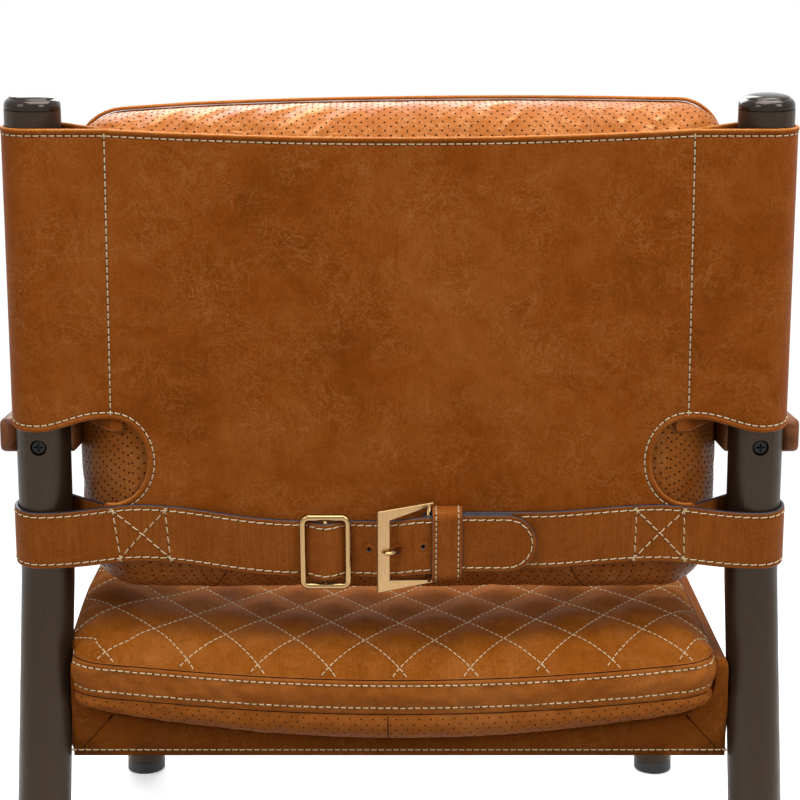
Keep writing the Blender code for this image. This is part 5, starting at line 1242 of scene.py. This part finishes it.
def make_deck():
    """One leather skin over the seat frame, turned down all round and dished between the side bars."""
    deck = new_piece("deck_skin", *loft(deck_skin(), around=False), [LEATHER["deck"], RAW_EDGE])
    if deck.data.polygons[len(deck.data.polygons) // 2].normal.z < 0:
        deck.data.flip_normals()
    solid = deck.modifiers.new("leather", "SOLIDIFY")
    set_all(solid, thickness=DECK_LEATHER, offset=-1, material_offset_rim=1)
    settle(deck, "chair", "seat_deck", slot="leather")
    lines, mitres, notch_shades = [], [], []
    rear, front, out, level = DECK_SETBACK, SEAT_DEPTH - DECK_SETBACK, 0.0006, np.full(2, DECK_HEM + EDGE_STITCH)
    for side in (1, -1):
        for far, kept in ((1.0, mitres), (0.10, notch_shades), (0.05, notch_shades)):
            ends = np.array((0.0, far))
            forward = rear - 0.0001 - 0.0002 * (far < 1)
            seam = on_seat(side * (0.2640 + 0.0325 * ends), forward, -0.062 - 0.037 * ends)
            kept.append((seam, np.tile(-SEAT_FORWARD, (2, 1))))
        hem_line = on_seat(np.full(2, side * (DECK_HALF + out)), np.array((rear, front)), level)
        lines.append((hem_line, np.tile((side, 0, 0), (2, 1))))
    for forward, facing in ((rear - out, -SEAT_FORWARD), (front + out, SEAT_FORWARD)):
        lines.append((on_seat(np.array((-DECK_HALF, DECK_HALF)), forward, level), np.tile(facing, (2, 1))))
    sewn("deck_stitches", "chair", lines, SEAM_PITCH)
    # The mitre seams and the notches at their inner ends are dark cords: painted shade in the seams and notches, where
    # the mitre joints are dark too
    for name, width, kept in (("deck_mitres", 0.0007, mitres), ("deck_notch_shade", 0.0016, notch_shades)):
        grown(name, "chair", "cord", kept, Width=width, Finish=SEAM_SHADE)


# ---- Cushions ----

QUILT_STEP = QUILT_DIAGONAL / 8
PERFORATION_STEP = 0.0105


def smaller(a, b, power=5):
    """A smooth minimum of two distances."""
    a, b = np.maximum(a, 1e-5), np.maximum(b, 1e-5)
    return (a ** -power + b ** -power) ** (-1 / power)


def off_line(u, v, phase_v):
    """How far the nearest quilting line of either slant is, in shares of a diamond."""
    phases = (u + v - phase_v) / QUILT_DIAGONAL, (u - v + phase_v) / QUILT_DIAGONAL
    return [np.abs(phase - np.round(phase)) for phase in phases]


def quilt_pillow(u, v, phase_v):
    """0 along the quilting lines, 1 in the middle of each diamond."""
    first = np.sin(pi * (u + v - phase_v) / QUILT_DIAGONAL)
    second = np.sin(pi * (u - v + phase_v) / QUILT_DIAGONAL)
    return np.abs(first * second) ** 0.58


def rounded_corner(u, v, half_u, half_v, radius):
    """Moves points of a rectangle's grid so that its outline has round corners."""
    over_u = np.maximum(np.abs(u) - (half_u - radius), 0)
    over_v = np.maximum(np.abs(v) - (half_v - radius), 0)
    both = (over_u > 0) & (over_v > 0)
    scale = np.where(both, np.maximum(over_u, over_v) / np.maximum(np.hypot(over_u, over_v), 1e-9), 1)
    new_u = np.where(both, np.sign(u) * (half_u - radius + over_u * scale), u)
    new_v = np.where(both, np.sign(v) * (half_v - radius + over_v * scale), v)
    return new_u, new_v


def axis_places(half, near=(0.0, 0.0030, 0.0064)):
    """Grid places from -half to half on multiples of the quilt's step, with rows beside both ends."""
    count = int(half / QUILT_STEP)
    inner = np.arange(-count, count + 1) * QUILT_STEP
    inner = inner[np.abs(inner) < half - near[-1] - QUILT_STEP * 0.4]
    return np.r_[-half + np.array(near), inner, half - np.array(near[::-1])]


class CushionShell:
    """A boxed cushion as one closed net: its sewn face, the rings of its boxing, and its far side.

    Each point has a pin (1 where a seam or the deck holds it) and a kind (0 the sewn face, 1 the boxing,
    2 the far side).
    """

    def __init__(self, half_u, half_v, radius, face, rings, under, phase_v):
        us, vs = axis_places(half_u), axis_places(half_v)
        grid_u, grid_v = np.meshgrid(us, vs, indexing="ij")
        flat_u, flat_v = (a.ravel() for a in rounded_corner(grid_u, grid_v, us[-1], vs[-1], radius))
        nu, nv = len(us), len(vs)
        index = np.arange(nu * nv).reshape(nu, nv)
        border = np.r_[index[:-1, 0], index[-1, :-1], index[:0:-1, -1], index[0, :0:-1]]
        self.border = np.stack([flat_u[border], flat_v[border]], -1)
        nearest = np.minimum(*off_line(grid_u.ravel(), grid_v.ravel(), phase_v)) * QUILT_DIAGONAL / 2 ** 0.5
        held = nearest < 0.0004
        held[border] = True
        parts, pins = [face(flat_u, flat_v, 0.45)], [held.astype(float)]
        kinds, faces = [np.zeros(nu * nv)], []
        count, previous = nu * nv, border
        for ring, pin in rings:
            parts.append(ring(*self.border.T))
            pins.append(np.full(len(border), float(pin)))
            kinds.append(np.ones(len(border)))
            current = np.arange(count, count + len(border))
            count += len(border)
            faces += list(zip(previous, np.roll(previous, -1), np.roll(current, -1), current))
            previous = current
        lower = np.full(nu * nv, -1)
        lower[border] = previous
        rest = np.where(lower < 0)[0]
        parts.append(under(flat_u[rest], flat_v[rest]))
        pins.append(np.ones(len(rest)))
        kinds.append(np.full(len(rest), 2.0))
        lower[rest] = np.arange(count, count + len(rest))
        sewn_quads, far_quads = (
            np.stack([a[:-1, :-1], a[1:, :-1], a[1:, 1:], a[:-1, 1:]], -1).reshape(-1, 4)
            for a in (index, lower.reshape(nu, nv))
        )
        middle_u = ((us[:-1] + us[1:]) / 2)[:, None] + 0 * vs[None, :-1]
        middle_v = ((vs[:-1] + vs[1:]) / 2)[None, :] + 0 * us[:-1, None]
        first, second = (share.ravel() for share in off_line(middle_u, middle_v, phase_v))
        for (i, j, k, m), near_first, near_second in zip(sewn_quads, first, second):
            if min(near_first, near_second) > 0.01:
                faces.append((i, j, k, m))
            elif near_first < near_second:
                faces += [(i, j, m), (j, k, m)]
            else:
                faces += [(i, j, k), (i, k, m)]
        faces += [tuple(quad) for quad in far_quads]
        self.points, self.pins, self.kinds, self.faces = np.vstack(parts), np.hstack(pins), np.hstack(kinds), faces


CLOTH_FRAMES = 20
CLOTH = {
    "quality": 6, "mass": 0.35, "tension_stiffness": 40, "compression_stiffness": 12, "shear_stiffness": 12,
    "bending_stiffness": 0.25, "tension_damping": 12, "air_damping": 4, "vertex_group_mass": "seams",
    "vertex_group_shrink": "quilted", "pin_stiffness": 50, "use_pressure": True,
}


def puffed(shell, slack, pressure, most):
    """Blows the cushion up as cloth between its seams. slack is how much larger than the net the quilting and
    the boxing are cut."""
    mesh = raw_mesh("cushion_net", shell.points, shell.faces)
    mend(mesh)
    net = linked("cushion_net", mesh)
    held = net.vertex_groups.new(name="seams")
    for weight in np.unique(shell.pins):
        held.add([int(i) for i in np.where(shell.pins == weight)[0]], float(weight), "REPLACE")
    cloth = net.modifiers.new("cloth", "CLOTH")
    quilted = net.vertex_groups.new(name="quilted")
    quilted.add([int(i) for i in np.where(shell.kinds == 0)[0]], 1.0, "REPLACE")
    set_all(cloth.settings, **CLOTH, uniform_pressure_force=pressure, shrink_min=-slack[1], shrink_max=-slack[0])
    cloth.settings.effector_weights.gravity = 0
    cloth.collision_settings.use_self_collision = False
    set_all(cloth.point_cache, frame_start=1, frame_end=CLOTH_FRAMES)
    scene = bpy.context.scene
    for number in range(1, CLOTH_FRAMES + 1):
        scene.frame_set(number)
    made = net.evaluated_get(bpy.context.evaluated_depsgraph_get()).to_mesh()
    moved = np.empty(len(made.vertices) * 3)
    made.vertices.foreach_get("co", moved)
    moved = moved.reshape(-1, 3) - shell.points
    scene.frame_set(1)
    bpy.data.objects.remove(net)
    length = np.linalg.norm(moved, axis=1)
    moved *= np.minimum(1, most / np.maximum(length, 1e-9))[:, None]
    return shell.points + moved * (1 - (shell.pins >= 1))[:, None]


def make_cover(name, shell, cloth, boxing):
    """The cover as a piece, puffed up and subdivided once for a smooth finish. It gives the surface to sew on."""
    points = puffed(shell, *cloth)
    on_boxing = [int(shell.kinds[list(f)].max() > 0) for f in shell.faces]
    cover = new_piece(f"{name}_cover", points, shell.faces, [LEATHER["seat"], LEATHER[boxing]], on_boxing)
    smooth = cover.modifiers.new("smooth", "SUBSURF")
    smooth.levels = smooth.render_levels = 1
    made = applied(cover, smooth)
    made.shade_smooth()
    settle(cover, name, name, slot="leather")
    return BVHTree.FromPolygons([v.co for v in made.vertices], [tuple(p.vertices) for p in made.polygons])


def quilt_lines(half_u, half_v, phase_v, margin):
    """The quilting lines of both slants as flat lines within a face."""
    lines = []
    for slant in (1, -1):
        for k in range(-40, 41):
            total = slant * phase_v + k * QUILT_DIAGONAL
            low = max(-half_u + margin, total - (half_v - margin))
            high = min(half_u - margin, total + (half_v - margin))
            if high - low > 0.008:
                us = np.arange(low, high, 0.0022)
                lines.append(np.stack([us, (total - us) * slant], -1))
    return lines


def snapped(surface, points, lift=0.0):
    """Points brought to a surface, with its normals."""
    places, normals = [], []
    for p in points:
        hit, normal, _, _ = surface.find_nearest(Vector(p))
        places.append(np.array(hit) + np.array(normal) * lift)
        normals.append(np.array(normal))
    normals = np.array(normals)
    for _ in range(3):
        normals[1:-1] = (normals[:-2] + normals[1:-1] * 2 + normals[2:]) / 4
    return np.array(places), normals / np.linalg.norm(normals, axis=1)[:, None]


def closed(line):
    return np.vstack([line, line[:1]])


def on_ring(ring, line):
    """A closed line on a ring as it is, with normals that point away from its middle."""
    points = ring(*line.T)
    normals = points - points.mean(0)
    return points, normals / np.linalg.norm(normals, axis=1)[:, None]


def perforations(surface, shell, ring, row):
    """One row of holes round the boxing, at equal steps. Every other row starts half a step on."""
    line = closed(shell.border)
    lengths = np.r_[0, np.cumsum(np.linalg.norm(np.diff(line, axis=0), axis=1))]
    places = np.arange(PERFORATION_STEP / 2 * (row % 2), lengths[-1] - PERFORATION_STEP * 0.5, PERFORATION_STEP)
    return snapped(surface, ring(*(np.interp(places, lengths, line[:, k]) for k in (0, 1))))


SEAT_HALF_V = SEAT_DEPTH / 2
SEAT_SAG = 0.014
SEAT_BOW = 0.012
SEAT_PHASE_V = -QUILT_STEP * 41
SEAT_BAND = 0.0340
SEAT_ROW_DROPS = (0.0056, 0.0272)
# Rings of the band and its rolled edges: outward, drop below the seam, and how firmly the sewing holds them
SEAT_BAND_RINGS = (
    (-0.0004, 0.0008, 0.9), (0.0012, 0.0028, 0), (0.0004, 0.0056, 1), (0.0016, 0.0085, 0), (0.0022, 0.0125, 0),
    (0.0024, 0.0165, 0), (0.0022, 0.0205, 0), (0.0015, 0.0243, 0), (0.0002, 0.0272, 1), (0.0012, 0.0300, 0),
    (0.0008, 0.0322, 0), (-0.0014, 0.0340, 1),
)
# Rings of the boxing below the band: outward, and their share of the way down to the deck
SEAT_LOWER = (
    (-0.0008, 0.06), (0.0002, 0.22), (0.0, 0.40), (-0.0018, 0.58), (-0.0060, 0.76), (-0.0125, 0.90), (-0.0210, 0.98),
    (-0.0300, 1.0),
)
SEAT_HOLE_SHARES = (0.14, 0.30, 0.46, 0.62, 0.78)
DISH_SHOULDER = 0.26223
DISH_DROP = 0.0590
DISH_DEPTH = 0.0220


def dish_level(u):
    """Level of the leather deck between its shoulders."""
    share = np.minimum(np.abs(u) / DISH_SHOULDER, 1)
    return -DISH_DROP - DISH_DEPTH * (1 - share * share)


def seat_seam(u):
    return -SEAT_SAG * (1 - np.minimum(np.abs(u) / SEAT_HALF, 1) ** 2)


def pucker(u, v, drop):
    """Slanting gathers in the band beside the rear corners, deeper on the right."""
    beside = np.hypot(np.abs(u) - SEAT_HALF + 0.03, v + SEAT_HALF_V - 0.02)
    depth = np.where(u < 0, 0.0011, 0.0006) * dip(beside, 0, 0.045) * eased(drop / 0.006)
    gathers = depth * np.sin((u - v) * 2 * pi / 0.0125 - np.sign(u) * drop * 190)
    return gathers + 0.3 * depth * np.sin(u * 2 * pi / 0.007 + 1.1)


def place_seat(u, v, height):
    """A point of the seat cushion: its front edge is bowed, its rear corners are squeezed in, more on the
    left, and its left side lies over the deck's wall."""
    bow = SEAT_BOW * (1 - (u / SEAT_HALF) ** 2) * eased(-v / SEAT_HALF_V)
    forward = v + SEAT_HALF_V
    beside = eased((np.abs(u) / SEAT_HALF - 0.72) / 0.28)
    squeezed = np.where(u > 0, 0.0150, 0.0025) * (1 - eased((forward - 0.012) / 0.022))
    along = eased((forward - 0.008) / 0.03) * (1 - eased((forward / SEAT_DEPTH - 0.70) / 0.25))
    above = 1 - eased((-0.004 - height) / 0.012)
    overlap = np.where(u > 0, 0.0176 - 0.0076 * eased((forward - 0.20) / 0.10), 0.0) * along * above
    lifted = np.where(u > 0, 0.0180, 0.0) * along * above * beside * eased(forward / 0.14)
    return on_seat(u + np.sign(u) * np.maximum(squeezed, overlap) * beside, forward - bow, height + lifted)


def seat_face(u, v, pillow=1.0):
    inward = smaller(SEAT_HALF - np.abs(u), SEAT_HALF_V - np.abs(v))
    sewn_up = 0.0235 * (1 - np.exp(-inward / 0.022))
    puff = 0.0070 * pillow * quilt_pillow(u, v, SEAT_PHASE_V) * (1 - np.exp(-inward / 0.014))
    return place_seat(u, v, seat_seam(u) + sewn_up + puff)


def seat_ring(outward, drop, share=0.0):
    """One ring of the seat's boxing: how far out it lies, how far below the seam, and its share of the way down."""
    def ring(u, v):
        stands = outward + pucker(u, v, drop + share * 0.02) * (1 - share)
        moved_u, moved_v = u * (SEAT_HALF + stands) / SEAT_HALF, v * (SEAT_HALF_V + stands) / SEAT_HALF_V
        level = seat_seam(moved_u) - drop
        return place_seat(moved_u, moved_v, level + (dish_level(moved_u) + 0.0006 - level) * share)
    return ring


def make_seat_cushion():
    rings = [(seat_ring(outward, drop), pin) for outward, drop, pin in SEAT_BAND_RINGS]
    rings += [(seat_ring(outward, SEAT_BAND, share), float(share >= 0.9)) for outward, share in SEAT_LOWER]
    shell = CushionShell(SEAT_HALF, SEAT_HALF_V, 0.028, seat_face, rings, rings[-1][0], SEAT_PHASE_V)
    surface = make_cover("seat_cushion", shell, ((0.06, 0.03), 4.0, 0.009), "band")
    lines = quilt_lines(SEAT_HALF, SEAT_HALF_V, SEAT_PHASE_V, 0.003)
    lines = [snapped(surface, seat_face(*flat.T, 0.0)) for flat in lines]
    sewn("seat_quilt_stitches", "seat_cushion", lines, QUILT_PITCH, 0.0010, 0.82)
    line = closed(shell.border)
    lines = [snapped(surface, seat_ring(0.0003, drop)(*line.T)) for drop in SEAT_ROW_DROPS]
    sewn("seat_seam_stitches", "seat_cushion", lines, SEAM_PITCH)
    # Dark cords of painted shade in the band's two folds, and down the lower boxing's upright seam, where the joint is
    # dark too
    folds = ((-0.0004, 0.0006), (-0.0014, SEAT_BAND))
    crease_shade_lines = [snapped(surface, seat_ring(outward, drop)(*line.T)) for outward, drop in folds]
    place = np.array(0.0105), np.array(-SEAT_HALF_V)
    middle = [seat_ring(outward, SEAT_BAND, share)(*place) for outward, share in SEAT_LOWER]
    crease_shade_lines.append(snapped(surface, spaced(middle, 0.003, False)))
    grown("seat_seam_crease_shade", "seat_cushion", "cord", crease_shade_lines, Width=0.0009, Finish=SEAM_SHADE)
    holes = []
    outwards, shares = zip(*SEAT_LOWER)
    for row, share in enumerate(SEAT_HOLE_SHARES):
        ring = seat_ring(float(np.interp(share, shares, outwards)), SEAT_BAND, share)
        holes.append(perforations(surface, shell, ring, row))
    grown("seat_perforations", "seat_cushion", "hole", holes, Width=0.0015, Finish=PUNCHED_HOLE_SHADE)


BACK_HALF_V = (BACK_TOP - BACK_BOTTOM) / 2
BACK_MIDDLE = (BACK_TOP + BACK_BOTTOM) / 2
BACK_REAR = 0.0200
BACK_THICKNESS = 0.088
BACK_ROW = 0.0048
# How far the top has sunk, from right to left: the padding has slumped towards the sitter's left
BACK_TOP_SLUMP = (
    (-0.289, -0.255, -0.226, -0.180, -0.1415, -0.07, 0.0, 0.094, 0.189, 0.235, 0.265, 0.289),
    (-0.0024, -0.0018, -0.0008, 0.0002, 0.0010, 0.0024, 0.0036, 0.0045, 0.0055, 0.0068, 0.0076, 0.0066),
)
# The boxing's section: depth behind the sewn face, inset at the sides and top, and inset at the bottom
BACK_SECTION = (
    (0.0012, 0.0022, 0.0022), (0.0040, 0.0018, 0.0016), (0.0120, 0.0010, -0.0004), (0.0220, 0.0006, -0.0020),
    (0.0320, 0.0008, -0.0030), (0.0420, 0.0020, -0.0036), (0.0520, 0.0060, -0.0032), (0.0610, 0.0125, -0.0010),
    (0.0690, 0.0195, 0.0034), (0.0760, 0.0270, 0.0095), (0.0820, 0.0345, 0.0180), (0.0862, 0.0410, 0.0280),
    (0.0880, 0.0480, 0.0400),
)
BACK_PINS = (1, 0.7, 0.2, 0.1, 0, 0, 0, 0, 0, 0, 0, 1, 1)


def place_back(u, v, level):
    """A point of the back cushion: across, up from its middle, and how far it stands in front of its rear face."""
    arc = 0.008 * (1 - (u / BACK_HALF) ** 2) - np.interp(u, *BACK_TOP_SLUMP)
    full = dip(level, 0.062, 0.017) * eased((np.abs(u) / BACK_HALF - 0.80) / 0.20)
    aside = np.where(u > 0, 0.0085, -0.0055) * full * eased((0.80 - v / BACK_HALF_V) / 0.4)
    return on_back(u + aside, BACK_MIDDLE + v + arc * eased(v / BACK_HALF_V), BACK_REAR - level)


def back_face(u, v, pillow=1.0):
    inward = smaller(BACK_HALF - np.abs(u), BACK_HALF_V - np.abs(v))
    sewn_up = 0.0150 * (1 - np.exp(-inward / 0.016))
    puff = 0.0062 * pillow * quilt_pillow(u, v, 0.0) * (1 - np.exp(-inward / 0.014))
    return place_back(u, v, BACK_THICKNESS + sewn_up + puff)


def back_ring(depth, inset, bottom_inset):
    def ring(u, v):
        low = eased((-v / BACK_HALF_V - 0.80) / 0.18)
        moved_u = u * (BACK_HALF - inset) / BACK_HALF
        moved_v = v * (BACK_HALF_V - inset - (bottom_inset - inset) * low) / BACK_HALF_V
        return place_back(moved_u, moved_v, BACK_THICKNESS - depth)
    return ring


def make_back_cushion():
    rings = [(back_ring(*row), pin) for row, pin in zip(BACK_SECTION, BACK_PINS)]
    shell = CushionShell(BACK_HALF, BACK_HALF_V, 0.040, back_face, rings, rings[-1][0], 0.0)
    surface = make_cover("back_cushion", shell, ((0.06, 0.012), 3.0, 0.008), "panel")
    line = closed(shell.border)
    inner = line * (1 - 0.0058 / BACK_HALF, 1 - 0.0058 / BACK_HALF_V)
    lines = [*quilt_lines(BACK_HALF, BACK_HALF_V, 0.0, 0.006), inner]
    lines = [snapped(surface, back_face(*flat.T, 0.0)) for flat in lines]
    sewn("back_quilt_stitches", "back_cushion", lines, QUILT_PITCH, 0.0010, 0.82)
    welt = on_ring(back_ring(-0.0002, -0.0010, -0.0010), line)
    # The welt takes the lighter roll leather: pull-up paling at the bend, and a painted highlight from the top light
    grown("back_welt", "back_cushion", "cord", [welt], Width=0.0034, Finish=LEATHER["roll"])
    # Dark cords of painted shade in the crease under the welt, and down the boxing's two upright seams, where the
    # joints are dark too
    crease_shade_lines = [snapped(surface, back_ring(0.0026, 0.0016, 0.0016)(*line.T), 0.0002)]
    for across in (-0.182, 0.182):
        flat = [ring(np.array(across), np.array(-BACK_HALF_V)) for ring, _ in rings]
        crease_shade_lines.append(snapped(surface, spaced(flat, 0.003, False)))
    grown("back_seam_crease_shade", "back_cushion", "cord", crease_shade_lines, Width=0.0008, Finish=SEAM_SHADE)
    holes = []
    section = np.array(BACK_SECTION)
    arc = np.r_[0, np.cumsum(np.hypot(np.diff(section[:, 0]), np.diff(section[:, 1])))]
    for row, along in enumerate(np.arange(0.0062, arc[-1] - 0.001, BACK_ROW)):
        ring = back_ring(*(float(np.interp(along, arc, column)) for column in section.T))
        holes.append(perforations(surface, shell, ring, row))
    half_u, half_v = BACK_HALF - 0.050, BACK_HALF_V - 0.048
    for row, v in enumerate(np.arange(-half_v, half_v, BACK_ROW)):
        us = np.arange(PERFORATION_STEP / 2 * (row % 2) - half_u, half_u, PERFORATION_STEP)
        holes.append(snapped(surface, place_back(us, np.full(len(us), v), 0.0)))
    grown("back_perforations", "back_cushion", "hole", holes, Width=0.0019, Finish=PUNCHED_HOLE_SHADE)


# ---- Camera, floor and light ----

WHITE = (1, 1, 1, 1)
FLOOR_REACH = 30
# Each lamp's name, place, target, width, height and power
LAMPS = (
    ("overhead_softbox", (-0.3, 0.55, 2.7), (0, 0.1, 0.5), 2.2, 1.5, 86),
    ("rear_left_softbox", (1.8, 2.2, 2.1), (0, 0.2, 0.55), 1.0, 1.5, 21),
    ("rear_right_softbox", (-1.9, 2.2, 2.2), (0, 0.2, 0.55), 1.0, 1.5, 35),
    ("front_softbox", (0.4, -1.7, 2.2), (0, 0.1, 0.4), 1.8, 1.4, 56),
)


def seen_rays(tree):
    """1 for the rays that show the surround white: the camera's, and those through glass or off gloss."""
    given = add_node(tree, "ShaderNodeLightPath").node.outputs
    seen = add_node(tree, MATH, (given["Is Camera Ray"], given["Is Transmission Ray"]), operation="MAXIMUM")
    return add_node(tree, MATH, (seen, given["Is Glossy Ray"]), operation="MAXIMUM")


def make_stage():
    """A plain white floor and surround, four broad soft lamps, and the camera at the photograph's angle."""
    scene = bpy.context.scene
    scene.view_settings.view_transform = "Standard"
    data = bpy.data.cameras.new("camera")
    set_all(data, lens=71.55, sensor_width=36, shift_x=0.0006, shift_y=-0.10)
    scene.camera = linked("camera", data)
    scene.camera.location = (0, DATUM[1] + 1.42074, 0.79198)
    scene.camera.rotation_euler = (radians(90 - 5.7), 0, radians(180))
    scene.world = bpy.data.worlds.new("white_surround")
    scene.world.use_nodes = True
    tree = scene.world.node_tree
    back = tree.nodes["Background"]
    back.inputs["Color"].default_value = WHITE
    wire(tree, back, Strength=add_node(tree, RANGE, (seen_rays(tree), 0, 1, 0.36, 1.0)))
    material, tree, shader, place = new_material("white_floor", "#F2F2F2", 0.9, Emission_Color=WHITE)
    seen = seen_rays(tree)
    away = add_node(tree, VECTOR, (place,), out="Value", operation="LENGTH")
    far = add_node(tree, MATH, (add_node(tree, RANGE, (away, 0.9, 2.2, 0.0, 1.0)), seen), **TIMES)
    near_floor = add_node(tree, MIX, {0: seen, 6: colour("#7C7874"), 7: colour("#F2F2F2")}, **MIXED)
    near = add_node(tree, MATH, (seen, 0.38), **TIMES)
    wire(
        tree, shader,
        Base_Color=add_node(tree, MIX, {0: far, 6: near_floor, 7: colour("#000000")}, **MIXED),
        Emission_Strength=add_node(tree, MATH, (near, far), operation="MAXIMUM"),
    )
    corners = [(x * FLOOR_REACH, y * FLOOR_REACH, 0) for x, y in ((-1, -1), (1, -1), (1, 1), (-1, 1))]
    floor = linked("floor", raw_mesh("floor", corners, [(0, 1, 2, 3)], [material]))
    for name, place, target, width, height, power in LAMPS:
        lamp = bpy.data.lights.new(name, "AREA")
        set_all(lamp, shape="RECTANGLE", size=width, size_y=height, energy=power)
        holder = linked(name, lamp)
        holder.location = place
        holder.rotation_euler = (Vector(target) - Vector(place)).to_track_quat("-Z", "Y").to_euler()


make_stage()
make_sling()
make_belts()
make_keeper()
make_slider()
make_buckle()
make_prong()
make_deck()
make_seat_cushion()
make_back_cushion()
make_caps()
make_frame()
